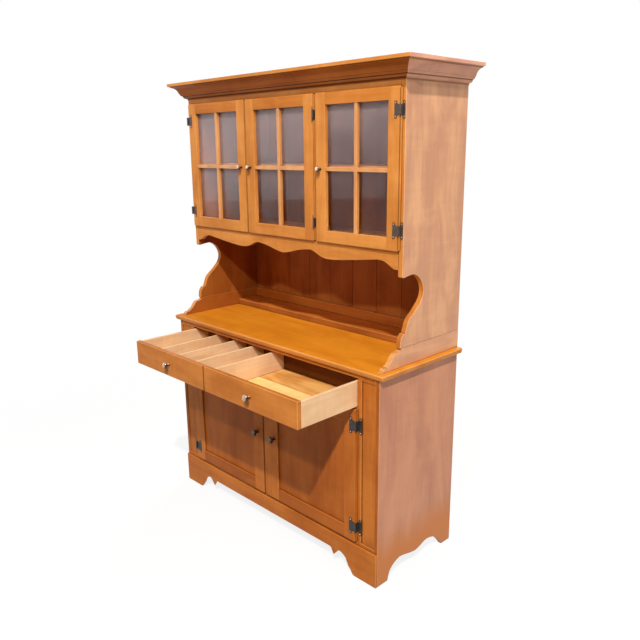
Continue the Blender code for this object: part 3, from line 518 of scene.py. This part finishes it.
@once
def pewter(shader, tone):
    """Dark plated steel with paler rubbed edges and small pits."""
    place = shader.node("ShaderNodeTexCoord")["Object"]
    rub = shader.noise(place, (160.0, 160.0, 160.0), 4.0, 0.6)
    pits = shader.noise(place, (900.0, 900.0, 900.0), 2.0).over(0.55, 0.75)
    base = shader.mix(rub.over(0.45, 0.80), colour(tone), colour(tone, 2.4))
    bump = shader.node("ShaderNodeBump", {}, {"Strength": 0.25, "Distance": 0.0003, "Height": rub - pits})
    surface = shader.node("ShaderNodeBsdfPrincipled", {}, {
        "Base Color": base, "Metallic": 0.35, "Roughness": rub * 0.3 + 0.34, "Normal": bump["Normal"]})
    return shader.close(surface["BSDF"])


@once
def dark_slot(shader):
    """A near-black finish with fine grit, in a screw's slot."""
    place = shader.node("ShaderNodeTexCoord")["Object"]
    grit = shader.noise(place, (1500.0, 1500.0, 1500.0), 2.0)
    base = shader.mix(grit, (0.008, 0.006, 0.005, 1.0), (0.03, 0.022, 0.018, 1.0))
    surface = shader.node("ShaderNodeBsdfPrincipled", {}, {"Base Color": base, "Roughness": 0.8})
    return shader.close(surface["BSDF"])


@once
def nickel(shader, tone, dull=0.0, shade=0.85):
    """Bright plating, faintly hazed where it is handled, with painted dark reflection on faces turned down
    and right and in a ring round the front.
    """
    place = shader.node("ShaderNodeTexCoord")["Object"]
    haze = shader.noise(place, (70.0, 70.0, 70.0), 3.0, 0.6)
    scratches = shader.noise(place, (300.0, 900.0, 1500.0), 2.0).over(0.62, 0.70)
    facing = shader.node("ShaderNodeSeparateXYZ", {}, {
        "Vector": shader.node("ShaderNodeTexCoord")["Normal"]})
    # Painted dark reflection: faces turned down and to the right, and a ring round the front, go toward the
    # dark tone
    under = (facing["X"] * 0.8 - facing["Z"] + (haze - 0.5) * 0.8).over(-0.20, 0.45)
    front = facing["Y"] * -1.0
    ring = front.over(0.30, 0.55) * (1.0 - front.over(0.80, 0.93))
    base = shader.mix(haze.over(0.35, 0.75) * 0.35, colour(tone), colour(tone, 0.72))
    base = shader.mix((under * shade + ring * shade * 0.6).over(0.0, 1.0), base, colour(tone, 0.12))
    rough = haze * 0.14 + scratches * 0.10 + (0.12 + dull)
    surface = shader.node("ShaderNodeBsdfPrincipled", {}, {
        "Base Color": base, "Metallic": 1.0, "Roughness": rough})
    return shader.close(surface["BSDF"])


@once
def glass(shader):
    """Clear pane with faint smears and a soft pinkish haze, deepest at the upper left, partly dust and partly
    painted reflection, that lets lamps in.
    """
    place = shader.node("ShaderNodeTexCoord")["Object"]
    smears = shader.noise(place, (7.0, 7.0, 11.0), 4.0, 0.6)
    clear = shader.node("ShaderNodeBsdfPrincipled", {}, {
        "Base Color": (0.78, 0.75, 0.74, 1.0), "Roughness": smears.over(0.45, 0.85) * 0.05 + 0.01,
        "Transmission Weight": 1.0, "IOR": 1.30})
    parts = shader.node("ShaderNodeSeparateXYZ", {}, {"Vector": place})
    # A lit pinkish layer, deepest at the upper left and fading to the lower right: partly dust, partly
    # painted reflection
    dust_and_reflection = (parts["Z"] - 1.45) * 2.2 - parts["X"] * 0.55 + (smears - 0.5) * 0.5 + 0.40
    dust_and_reflection_film = shader.node("ShaderNodeBsdfDiffuse", {}, {"Color": (0.80, 0.62, 0.62, 1.0)})
    mixed = shader.node("ShaderNodeMixShader", {}, {
        0: dust_and_reflection.over(0.0, 1.0) * 0.15, 1: clear["BSDF"], 2: dust_and_reflection_film["BSDF"]})
    path = shader.node("ShaderNodeLightPath")
    open_way = shader.node("ShaderNodeBsdfTransparent", {}, {"Color": (0.62, 0.60, 0.58, 1.0)})
    lit = shader.node("ShaderNodeMixShader", {}, {
        0: path["Is Shadow Ray"], 1: mixed["Shader"], 2: open_way["BSDF"]})
    return shader.close(lit["Shader"])


# Shapes
def copied(node):
    """A welded copy of a solid, its flat faces made whole."""
    bm = bmesh.new()
    bm.from_mesh(NODES[node].data)
    bmesh.ops.remove_doubles(bm, verts=bm.verts, dist=WELD)
    bmesh.ops.dissolve_limit(bm, angle_limit=FLAT, verts=bm.verts, edges=bm.edges)
    return bm


def soften(bm, width, segments=2, sharp=SHARP, crevice=None):
    """Ease the sharp edges: outer ones are marked +1 for wear and painted highlight, and inner ones -1 for
    stained lacquer and painted shade.
    """
    edge = bm.loops.layers.float.new("edge")
    for sign, offset, steps in ((1.0, width, segments), (-1.0, crevice or width, 1)):
        edges = [e for e in bm.edges if len(e.link_faces) == 2 and e.is_convex == (sign > 0)
                 and e.calc_face_angle() > sharp]
        done = bmesh.ops.bevel(bm, geom=edges, offset=offset, offset_type="OFFSET", affect="EDGES",
                               segments=steps, profile=0.5, material=-1, clamp_overlap=True)
        for face in done["faces"]:
            for loop in face.loops:
                loop[edge] = sign


def split(bm, cuts):
    """Cut the faces, but not the solid, where one board meets the next."""
    for axis, place in cuts:
        across = Vector([float(axis == name) for name in "xyz"])
        geom = list(bm.verts) + list(bm.edges) + list(bm.faces)
        bmesh.ops.bisect_plane(bm, geom=geom, dist=WELD / 10, plane_co=across * place, plane_no=across)


# Which way a board runs, and how far its number shifts its grain
ALONG = {"x": (0, 1, 2), "y": (1, 2, 0), "z": (2, 0, 1)}
BOARD_STEP = Vector((1.37, 0.73, 0.51))


def lay(bm, boards):
    """Write on each corner its place along its own board, and give each face its board's finish."""
    place = bm.loops.layers.float_vector.new("board")
    for face in bm.faces:
        axis, number, index = boards(face.calc_center_median(), face.normal)
        order = ALONG[axis]
        face.material_index = index
        for loop in face.loops:
            spot = Vector([loop.vert.co[i] for i in order])
            loop[place] = spot + BOARD_STEP * number


def built(name, bm, materials, nodes, smooth=SMOOTH):
    """Make the finished piece, ride it on its body, and let it stand for its solids."""
    mesh = bpy.data.meshes.new(name)
    for face in bm.faces:
        face.smooth = True
    bm.to_mesh(mesh)
    bm.free()
    mesh.set_sharp_from_angle(angle=smooth)
    for finish in materials:
        mesh.materials.append(finish)
    obj = bpy.data.objects.new(name, mesh)
    bpy.context.scene.collection.objects.link(obj)
    normals = obj.modifiers.new("normals", "WEIGHTED_NORMAL")
    normals.keep_sharp = True
    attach(obj, BODY_OF[nodes[0]])
    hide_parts(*nodes)
    return obj


def one_board(axis, number, index=0):
    """The rule of a single board. A rule gives a face its direction, board number and finish."""
    return lambda spot, normal: (axis, number, index)


def side_board(axis, number):
    """The rule of a side: its outer face first, then its edges, then its inner face."""

    def rule(spot, normal):
        facing = math.copysign(1.0, spot.x) * normal.x
        return (axis, number, 0 if facing > SIDE_FACE else 1 if facing > -SIDE_FACE else 2)

    return rule


def grooved(bm, places):
    """Darken with painted shade the eased edges and the bottom of a groove or gap at one of these places
    across the width.
    """
    edge = bm.loops.layers.float["edge"]
    for face in bm.faces:
        away = min(abs(face.calc_center_median().x - place) for place in places)
        if away < GROOVE_REACH and abs(face.normal.x) < WALL_FACE:
            for loop in face.loops:
                loop[edge] = -1.0


def wooden(node, boards, cuts=(), ease=None, materials=None, sharp=SHARP, smooth=SMOOTH,
           crevice=None, grooves=()):
    """A wooden piece: its solid with eased edges and grain."""
    sizes = bpy.context.scene.hutch_wood
    bm = copied(node)
    soften(bm, ease or sizes.ease, sharp=sharp, crevice=crevice or sizes.crevice)
    if grooves:
        grooved(bm, grooves)
    split(bm, cuts)
    lay(bm, boards)
    return built(node + "_wood", bm, materials or [honey_maple()], [node], smooth)


def door_boards(node, pane, number):
    """Which member of a door's frame a spot belongs to, and where the members meet."""
    low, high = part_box(pane)
    lip = low + Vector((REBATE[pane.rsplit("_", 1)[1]],) * 3)
    top = high - (lip - low)

    def rule(spot, normal):
        if spot.x < lip.x:
            return ("z", number, 0)
        if spot.x > top.x:
            return ("z", number + 1, 0)
        if spot.z < lip.z:
            return ("x", number + 2, 1)
        if spot.z > top.z:
            return ("x", number + 3, 2)
        middle = (low + high) / 2
        return ("z", number + 4, 3) if abs(spot.x - middle.x) < MUNTIN_HALF else ("x", number + 5, 3)

    return rule, (("x", lip.x), ("x", top.x))


class HUTCH_OT_base(bpy.types.Operator):
    """Base case: sides, face frame, apron, back and bottom"""

    bl_idname = "hutch.base"
    bl_options = {"REGISTER", "UNDO"}
    bl_label = "Base case"

    def execute(self, context):
        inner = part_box("base_face_frame")[1].x
        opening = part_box("drawer_side_right")[1].x + DRAWER_PLAY
        outer = side_board("z", 1)

        def side_boards(spot, normal):
            return outer(spot, normal) if abs(spot.x) > inner else ("y", 3, 3)

        def frame_boards(spot, normal):
            if abs(spot.x) > opening:
                return ("z", 5 if spot.x > 0 else 6, 0)
            return ("x", 7 + math.floor(spot.z * RAILS_PER_M), 0)

        for side in SIDES:
            wooden("base_side_" + side, side_boards,
                   materials=[base_side_maple(), panel_maple(), shaded_maple(), pale_maple()])
        wooden("base_face_frame", frame_boards, cuts=(("x", -opening), ("x", opening)),
               materials=[deep_maple()])
        wooden("base_apron", one_board("x", 12), materials=[deep_maple()])
        wooden("base_back", one_board("z", 14), materials=[shaded_maple()])
        wooden("base_bottom", one_board("x", 15), materials=[shaded_maple()])
        return {"FINISHED"}


class HUTCH_OT_counter(bpy.types.Operator):
    """Counter top and the low gallery on it"""

    bl_idname = "hutch.counter"
    bl_options = {"REGISTER", "UNDO"}
    bl_label = "Counter"

    def execute(self, context):
        def counter_boards(spot, normal):
            return ("x", 20, 0 if normal.z > TOP_FACE else 1)

        wooden("counter_top", counter_boards, materials=[counter_maple(), honey_maple()])
        low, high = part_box("gallery_back")

        def ledge_boards(spot, normal):
            front = spot.y < (low.y + high.y) / 2
            return ("x", 21, 1 if normal.z < LEVEL_FACE and front else 0)

        wooden("gallery_back", ledge_boards, materials=[ledge_maple(), niche_maple()])
        for number, side in enumerate(SIDES):
            wooden("gallery_side_" + side, side_board("y", 22 + number),
                   materials=[side_maple(), rubbed_maple(), shaded_maple()])
        return {"FINISHED"}


class HUTCH_OT_upper(bpy.types.Operator):
    """Glazed top: tall sides, plank back, boards and face frame"""

    bl_idname = "hutch.upper"
    bl_options = {"REGISTER", "UNDO"}
    bl_label = "Glazed top"

    def execute(self, context):
        plank = context.scene.hutch_wood.plank
        floor_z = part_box("upper_floor")[1].z
        rail_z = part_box("upper_door_left_frame")[1].z - TOP_RAIL_LAP

        def planks(spot, normal):
            return ("z", 30 + math.floor(spot.x / plank + 0.5), 0)

        def face_boards(spot, normal):
            return ("z", 45, 0) if floor_z < spot.z < rail_z else ("x", 46 + int(spot.z > floor_z), 0)

        def scrolled(number):
            rule = side_board("z", number)

            def boards(spot, normal):
                axis, board, index = rule(spot, normal)
                return (axis, board, 3 if index == 1 and spot.z < floor_z - SCROLL_DROP else index)

            return boards

        for number, side in enumerate(SIDES):
            wooden("upper_side_" + side, scrolled(24 + number),
                   materials=[side_maple(), honey_maple(), niche_maple(), drawer_maple()])
        wooden("upper_back", planks, ease=PLANK_EASE, materials=[shaded_maple()])
        for number, name in enumerate(("upper_top", "upper_floor", "upper_shelf")):
            wooden(name, one_board("x", 40 + number))
        wooden("upper_face_frame", face_boards, cuts=(("z", floor_z), ("z", rail_z)), ease=FRAME_EASE)
        return {"FINISHED"}


class HUTCH_OT_crown(bpy.types.Operator):
    """Crown moulding along the front and both ends"""

    bl_idname = "hutch.crown"
    bl_options = {"REGISTER", "UNDO"}
    bl_label = "Crown"

    def execute(self, context):
        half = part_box("upper_side_right")[1].x
        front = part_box("upper_side_right")[0].y
        low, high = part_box("crown")

        def within(up, grooves):
            return any(bottom < up < top for bottom, top in grooves)

        # Faces in the crown's grooves take painted shade; its top fillet keeps the paler honey
        def lengths(spot, normal):
            up = spot.z - low.z
            if abs(spot.x) - half > front - spot.y:
                return ("y", 50 + int(spot.x > 0), 4 if within(up, END_GROOVES) else 1)
            if spot.z > high.z - CROWN_FILLET:
                return ("x", 52, 3)
            return ("x", 52, 2 if within(up, FRONT_GROOVES) else 0)

        tones = [crown_maple(), crown_end_maple(), bead_maple(), honey_maple(), end_groove_maple()]
        wooden("crown", lengths, ease=FRAME_EASE, sharp=CROWN_SHARP, smooth=CROWN_SMOOTH,
               crevice=CROWN_CREVICE, materials=tones)
        return {"FINISHED"}


class HUTCH_OT_doors(bpy.types.Operator):
    """Door frames with their glass or panels"""

    bl_idname = "hutch.doors"
    bl_options = {"REGISTER", "UNDO"}
    bl_label = "Doors"

    def execute(self, context):
        ease = context.scene.hutch_wood.door_ease
        for number, door in enumerate(LOWER_DOORS + UPPER_DOORS):
            pane = door + ("_panel" if door in LOWER_DOORS else "_glass")
            rule, cuts = door_boards(door + "_frame", pane, 60 + number * 10)
            tones = [honey_maple(), honey_maple(), drawer_maple(), rubbed_maple()]
            if door in LOWER_DOORS:
                tones = [deep_maple(), panel_maple(), deep_maple(), deep_maple()]
            low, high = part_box(door + "_frame")
            wooden(door + "_frame", rule, cuts=cuts, ease=ease, materials=tones,
                   grooves=(low.x - DOOR_GAP, high.x + DOOR_GAP))
            if door in LOWER_DOORS:
                wooden(pane, one_board("z", 68 + number * 10), ease=ease, materials=[panel_maple()])
            else:
                bm = copied(pane)
                soften(bm, ease / 3)
                built(pane + "_pane", bm, [glass("pane_glass")], [pane])
        return {"FINISHED"}


class HUTCH_OT_drawer(bpy.types.Operator):
    """Drawer: front, sides, back, and floor with dividers"""

    bl_idname = "hutch.drawer"
    bl_options = {"REGISTER", "UNDO"}
    bl_label = "Drawer"

    def execute(self, context):
        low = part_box("drawer_bottom")[0]
        floor_z = low.z + TRAY_T
        sapwood = low.y + SAPWOOD_W

        def floor_boards(spot, normal):
            if spot.z > floor_z:
                return ("y", 113 + math.floor(spot.x * DIVIDERS_PER_M), 1)
            return ("x", 112, 2) if spot.y < sapwood else ("x", 111, 0)

        pale = [pale_maple()]
        wooden("drawer_front", one_board("x", 110), materials=[drawer_maple()], grooves=(DRAWER_SPLIT_X,))
        for number, side in enumerate(SIDES):
            wooden("drawer_side_" + side, one_board("y", 104 + number), materials=pale)
        wooden("drawer_back", one_board("x", 106), materials=[hidden_maple()])
        wooden("drawer_bottom", floor_boards, cuts=(("z", floor_z), ("y", sapwood)),
               materials=[tray_maple(), pale_maple(), sap_maple()])
        return {"FINISHED"}


class HUTCH_OT_knobs(bpy.types.Operator):
    """Turned nickel knobs"""

    bl_idname = "hutch.knobs"
    bl_options = {"REGISTER", "UNDO"}
    bl_label = "Knobs"

    def execute(self, context):
        metal = context.scene.hutch_metal
        nodes = [door + "_knob" for door in LOWER_DOORS + UPPER_DOORS]
        for node in nodes + ["drawer_knob_" + side for side in SIDES]:
            low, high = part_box(node)
            foot = Vector(((low.x + high.x) / 2, high.y, (low.z + high.z) / 2))
            radius = (high.x - low.x) / 2
            reach = high.y - low.y
            bm = bmesh.new()
            profile = [(0.0, 0.0)] + list(KNOB_SHARES) + [(0.0, 1.0)]
            verts = [bm.verts.new(foot + Vector((r * radius, -t * reach, 0.0))) for r, t in profile]
            edges = [bm.edges.new(pair) for pair in zip(verts, verts[1:])]
            bmesh.ops.spin(bm, geom=verts + edges, cent=foot, axis=(0, -1, 0), angle=2 * math.pi,
                           steps=metal.knob_steps, use_merge=True)
            bmesh.ops.remove_doubles(bm, verts=bm.verts, dist=WELD)
            bmesh.ops.recalc_face_normals(bm, faces=bm.faces)
            # The lower knobs take the darker nickel: painted shade and dark reflection
            if node.startswith("lower"):
                finish = nickel("tarnished_nickel", metal.tarnish)
            else:
                finish = nickel("nickel", metal.nickel)
            built(node + "_turned", bm, [finish], [node])
        return {"FINISHED"}


class HUTCH_OT_hinges(bpy.types.Operator):
    """H hinges with their screws"""

    bl_idname = "hutch.hinges"
    bl_options = {"REGISTER", "UNDO"}
    bl_label = "Hinges"

    def execute(self, context):
        self.screw = context.scene.hutch_metal.screw_radius
        for door in LOWER_DOORS + UPPER_DOORS:
            low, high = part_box(door + "_frame")
            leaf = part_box(door + "_leaf_low")[0]
            side = 1 if leaf.x * 2 > low.x + high.x else -1
            for place in ("low", "high"):
                self.door_leaf("_".join((door, "leaf", place)), side)
                self.case_leaf("_".join((door, "hinge", place)), side, "_".join((door, "leaf", place)))
        return {"FINISHED"}

    def axis(self, leaf):
        """The middle of a leaf, on the line that its door turns on."""
        low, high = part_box(leaf)
        x, y, _ = JOINT_OF[BODY_OF[leaf]]["pos_m"]
        return Vector((x, y, (low.z + high.z) / 2))

    def outline(self, near, bar, far, web, tall):
        """Half of a leaf's outline going up: a web that rises to a bar with a rounded end."""
        wide = far - bar
        half = [(near, web)]
        if abs(bar - near) >= NO_NOTCH:
            half += [(near + (bar - near) * NOTCH_SHARE, web + NOTCH_LOW), (bar, web + NOTCH_HIGH)]
        return half + [(bar, tall - TIP_DROP), (bar + wide * TIP_SHARE, tall - TIP_ROUND),
                       (bar + wide * 0.5, tall), (far - wide * TIP_SHARE, tall - TIP_ROUND),
                       (far, tall - TIP_DROP)]

    def screw_spots(self, middle, tall, room):
        """The places of a leaf's two screws, if there is room for them."""
        return [(middle, tall - SCREW_INSET), (middle, -tall + SCREW_INSET)] if room else []

    def plate(self, bm, centre, side, outline, face_y, screws):
        """A leaf cut from sheet: rounded tips, filleted notches and its screws."""
        ring = [bm.verts.new((centre.x + side * u, face_y, centre.z + v)) for u, v in outline]
        bm.faces.new(ring)
        tight = min(math.dist(a, b) for a, b in zip(outline, outline[1:] + outline[:1]))
        bmesh.ops.bevel(bm, geom=ring, offset=min(CORNER_ROUND, tight * CORNER_SHARE), offset_type="OFFSET",
                        affect="VERTICES", segments=2, profile=0.5, material=-1)
        face = max(bm.faces, key=lambda f: f.calc_area())
        grown = bmesh.ops.extrude_face_region(bm, geom=[face])["geom"]
        moved = [item for item in grown if isinstance(item, bmesh.types.BMVert)]
        bmesh.ops.translate(bm, verts=moved, vec=(0, -SHEET, 0))
        for u, v in screws:
            self.head(bm, Vector((centre.x + side * u, face_y - SHEET, centre.z + v)))

    def head(self, bm, spot):
        """A slotted screw head, standing a little proud of its leaf."""
        made = bmesh.ops.create_cone(bm, cap_ends=True, segments=SCREW_STEPS, radius1=self.screw,
                                     radius2=self.screw * SCREW_TOP_SHARE, depth=SCREW_HEIGHT,
                                     matrix=Matrix.Translation(spot) @ Matrix.Rotation(math.pi / 2, 4, "X"))
        faces = list(dict.fromkeys(face for vert in made["verts"] for face in vert.link_faces))
        for face in faces:
            face.material_index = 1
        top = [face for face in faces if len(face.verts) > 4 and face.calc_center_median().y < spot.y]
        rim = bmesh.ops.inset_region(bm, faces=top, thickness=self.screw * SCREW_RIM_SHARE,
                                     use_even_offset=True)
        for face in rim["faces"]:
            face.material_index = 1
        angle = spot.x * SCREW_TURN
        turn = Vector((math.cos(angle), 0, math.sin(angle)))
        for offset in (-SLOT_HALF, SLOT_HALF):
            geom = top + [e for f in top for e in f.edges] + [v for f in top for v in f.verts]
            geom = list(dict.fromkeys(geom))
            cut = bmesh.ops.bisect_plane(bm, geom=geom, dist=WELD / 10, plane_co=spot + turn * offset,
                                         plane_no=turn)
            top = [item for item in cut["geom"] if isinstance(item, bmesh.types.BMFace)]
        middle = [f for f in top if abs((f.calc_center_median() - spot).dot(turn)) < SLOT_HALF / 2]
        sunk = bmesh.ops.extrude_face_region(bm, geom=middle)["geom"]
        bmesh.ops.delete(bm, geom=middle, context="FACES_ONLY")
        verts = [item for item in sunk if isinstance(item, bmesh.types.BMVert)]
        bmesh.ops.translate(bm, verts=verts, vec=(0, SLOT_DEPTH, 0))
        for item in sunk:
            if isinstance(item, bmesh.types.BMFace):
                item.material_index = 2

    def turned(self, bm, centre, profile, closed):
        """A knuckle or a pin, spun about the hinge's axis."""
        verts = [bm.verts.new(centre + Vector((r, 0, t))) for r, t in profile]
        pairs = list(zip(verts, verts[1:])) + ([(verts[-1], verts[0])] if closed else [])
        edges = [bm.edges.new(pair) for pair in pairs]
        bmesh.ops.spin(bm, geom=verts + edges, cent=centre, axis=(0, 0, 1), angle=2 * math.pi,
                       steps=HINGE_STEPS, use_merge=True)

    def finish_metal(self, bm, node):
        """Weld half a hinge and give it its metals."""
        bmesh.ops.remove_doubles(bm, verts=bm.verts, dist=WELD / 2)
        bmesh.ops.recalc_face_normals(bm, faces=bm.faces)
        metal = bpy.context.scene.hutch_metal
        if node.startswith("lower"):
            dark = pewter("pewter", metal.pewter)
        else:
            dark = pewter("bronzed_pewter", metal.bronzed)
        screws = nickel("screw_steel", [channel * 1.1 for channel in metal.nickel], 0.15, 0.2)
        built(node + "_metal", bm, [dark, screws, dark_slot("slot_grime")], [node])

    def door_leaf(self, node, side):
        """The door's half of a hinge: its leaf and the knuckle between the pin's ends."""
        low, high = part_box(node)
        centre = self.axis(node)
        tall = (high.z - low.z) / 2
        web = tall * WEB
        own = web / 3 - KNUCKLE_GAP
        far = centre.x - low.x if side > 0 else high.x - centre.x
        near = KNUCKLE_R + LEAF_GAP
        bar = max(far * (1.0 - BAR_SHARE), near + DOOR_BAR_GAP)
        half = [(-KNUCKLE_R * TONGUE_SHARE, own), (-near, own)] + self.outline(-near, -bar, -far, web, tall)
        outline = half + [(u, -v) for u, v in reversed(half)]
        middle = -(bar + far) / 2
        screws = self.screw_spots(middle, tall, far > DOOR_SCREW_ROOM)
        bm = bmesh.new()
        self.plate(bm, centre, side, outline, high.y, screws)
        r, ease, bore = KNUCKLE_R, KNUCKLE_EASE, KNUCKLE_R * BORE_SHARE
        self.turned(bm, centre, [(bore, -own), (r - ease, -own), (r, -own + ease), (r, own - ease),
                                 (r - ease, own), (bore, own)], True)
        self.finish_metal(bm, node)

    def case_leaf(self, node, side, leaf):
        """The case's half of a hinge: its leaf, the web behind the knuckle, and the pin."""
        low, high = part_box(node)
        centre = self.axis(leaf)
        leaf_low, leaf_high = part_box(leaf)
        tall = (leaf_high.z - leaf_low.z) / 2
        web = tall * WEB
        own = web / 3
        far = high.x - centre.x if side > 0 else centre.x - low.x
        near = LEAF_GAP
        reach = centre.x - leaf_low.x if side > 0 else leaf_high.x - centre.x
        bar = max(far - reach * BAR_SHARE, near + CASE_BAR_GAP)
        half = self.outline(near, bar, far, web, tall)
        outline = half + [(u, -v) for u, v in reversed(half)]
        middle = (bar + far) / 2
        screws = self.screw_spots(middle, tall, far > CASE_SCREW_ROOM)
        bm = bmesh.new()
        self.plate(bm, centre, side, outline, high.y, screws)
        clear = centre.y + KNUCKLE_R + WEB_CLEAR
        for start, end, front in ((-web, -own, centre.y), (-own, own, clear), (own, web, centre.y)):
            x = centre.x + side * (near + SHEET / 2)
            bmesh.ops.create_cube(bm, size=1.0, matrix=Matrix.LocRotScale(
                Vector((x, (high.y + front) / 2, centre.z + (start + end) / 2)), None,
                Vector((SHEET, high.y - front, end - start))))
        r, ease, pin = KNUCKLE_R, KNUCKLE_EASE, KNUCKLE_R * PIN_SHARE
        half = [(pin, 0.0), (pin, own), (r - ease, own), (r, own + ease), (r, web - ease), (r - ease, web)]
        half += [(pin * share, web + up) for share, up in PIN_END]
        profile = [(radius, -up) for radius, up in reversed(half[1:])] + half[1:]
        self.turned(bm, centre, profile, False)
        self.finish_metal(bm, node)


def seen(path):
    """1 where the eye meets the background, also in metal or through glass, and 0 where wood is lit by it."""
    straight = 1.0 - path["Diffuse Depth"].over(0.0, 1.0)
    mirrored = (path["Is Glossy Ray"] + path["Is Transmission Ray"]) * straight
    return (path["Is Camera Ray"] + mirrored).over(0.0, 1.0)


class HUTCH_OT_stage(bpy.types.Operator):
    """Floor, lights, world and camera"""

    bl_idname = "hutch.stage"
    bl_options = {"REGISTER", "UNDO"}
    bl_label = "Stage"

    def execute(self, context):
        stage = context.scene.hutch_stage
        self.floor(stage)
        self.world(stage)
        self.lamps(stage)
        self.camera(stage)
        context.scene.view_settings.view_transform = "Standard"
        return {"FINISHED"}

    def floor(self, stage):
        bm = bmesh.new()
        bmesh.ops.create_grid(bm, x_segments=1, y_segments=1, size=stage.floor)
        mesh = bpy.data.meshes.new("floor")
        bm.to_mesh(mesh)
        bm.free()
        shader = Shader(bpy.data.materials.new("floor"))
        path = shader.node("ShaderNodeLightPath")
        spot = shader.node("ShaderNodeTexCoord")["Object"]
        reach = shader.node("ShaderNodeVectorMath", {"operation": "LENGTH"}, {0: spot})["Value"]
        plain = shader.node("ShaderNodeBsdfDiffuse", {}, {"Color": (0.5, 0.5, 0.5, 1.0)})["BSDF"]
        pale = shader.node("ShaderNodeBsdfDiffuse", {}, {"Color": (0.95, 0.95, 0.95, 1.0)})["BSDF"]
        white = shader.node("ShaderNodeEmission", {}, {"Color": (1.0, 1.0, 1.0, 1.0), "Strength": 1.0})
        lit = shader.node("ShaderNodeMixShader", {}, {
            0: reach.over(WHITE_FROM, WHITE_TO) * (1.0 - WHITE_NEAR) + WHITE_NEAR, 1: pale,
            2: white["Emission"]})
        mixed = shader.node("ShaderNodeMixShader", {}, {0: seen(path), 1: plain, 2: lit["Shader"]})
        mesh.materials.append(shader.close(mixed["Shader"]))
        obj = bpy.data.objects.new("floor", mesh)
        bpy.context.scene.collection.objects.link(obj)

    def world(self, stage):
        world = bpy.data.worlds.new("studio")
        bpy.context.scene.world = world
        shader = Shader(world)
        path = shader.node("ShaderNodeLightPath")
        room = shader.node("ShaderNodeBackground", {}, {
            "Color": (1.0, 0.97, 0.95, 1.0), "Strength": stage.room})
        bright = shader.node("ShaderNodeBackground", {}, {"Color": (1.0, 1.0, 1.0, 1.0), "Strength": 1.0})
        mixed = shader.node("ShaderNodeMixShader", {}, {
            0: seen(path), 1: room["Background"], 2: bright["Background"]})
        shader.close(mixed["Shader"], "ShaderNodeOutputWorld")

    def lamps(self, stage):
        target = Vector(AIM)
        for name, (place, size, tint) in LAMPS.items():
            lamp = bpy.data.lights.new(name, "AREA")
            lamp.shape = "SQUARE"
            lamp.size = size
            lamp.energy = getattr(stage, name)
            lamp.color = tint
            obj = bpy.data.objects.new(name, lamp)
            obj.location = place
            obj.rotation_euler = (target - obj.location).to_track_quat("-Z", "Y").to_euler()
            bpy.context.scene.collection.objects.link(obj)

    def camera(self, stage):
        cam = bpy.data.cameras.new("camera")
        cam.sensor_width = SENSOR
        cam.lens = stage.focal / PHOTO_SIZE * SENSOR
        cam.shift_x = (PHOTO_SIZE / 2 - stage.centre[0]) / PHOTO_SIZE
        cam.shift_y = (stage.centre[1] - PHOTO_SIZE / 2) / PHOTO_SIZE
        forward = Vector((-math.sin(stage.yaw) * math.cos(stage.pitch),
                          math.cos(stage.yaw) * math.cos(stage.pitch), math.sin(stage.pitch)))
        right = Vector((math.cos(stage.yaw), math.sin(stage.yaw), 0.0))
        down = forward.cross(right)
        tilt = Matrix.Rotation(stage.roll, 3, forward)
        right, down = tilt @ right, tilt @ down
        turn = Matrix((right, -down, -forward)).transposed()
        obj = bpy.data.objects.new("camera", cam)
        obj.matrix_world = Matrix.Translation(stage.place) @ turn.to_4x4()
        bpy.context.scene.collection.objects.link(obj)
        bpy.context.scene.camera = obj


STEPS = (HUTCH_OT_base, HUTCH_OT_counter, HUTCH_OT_upper, HUTCH_OT_crown, HUTCH_OT_doors, HUTCH_OT_drawer,
         HUTCH_OT_knobs, HUTCH_OT_hinges, HUTCH_OT_stage)


class HUTCH_PT_panel(bpy.types.Panel):
    """The hutch's settings and steps"""

    bl_idname = "HUTCH_PT_panel"
    bl_label = "China Hutch"
    bl_space_type = "VIEW_3D"
    bl_region_type = "UI"
    bl_category = "Hutch"

    def draw(self, context):
        for group in (context.scene.hutch_wood, context.scene.hutch_metal, context.scene.hutch_stage):
            box = self.layout.box()
            for name in group.__annotations__:
                box.prop(group, name)
        for step in STEPS:
            self.layout.operator(step.bl_idname)


GROUPS = {"hutch_wood": HutchWood, "hutch_metal": HutchMetal, "hutch_stage": HutchStage}


def register():
    for name, group in GROUPS.items():
        bpy.utils.register_class(group)
        setattr(bpy.types.Scene, name, PointerProperty(type=group))
    for step in STEPS:
        bpy.utils.register_class(step)
    bpy.utils.register_class(HUTCH_PT_panel)


def unregister():
    bpy.utils.unregister_class(HUTCH_PT_panel)
    for step in reversed(STEPS):
        bpy.utils.unregister_class(step)
    for name, group in GROUPS.items():
        delattr(bpy.types.Scene, name)
        bpy.utils.unregister_class(group)


def main():
    register()
    for step in STEPS:
        group, name = step.bl_idname.split(".")
        getattr(getattr(bpy.ops, group), name)()


if __name__ == "__main__":
    main()
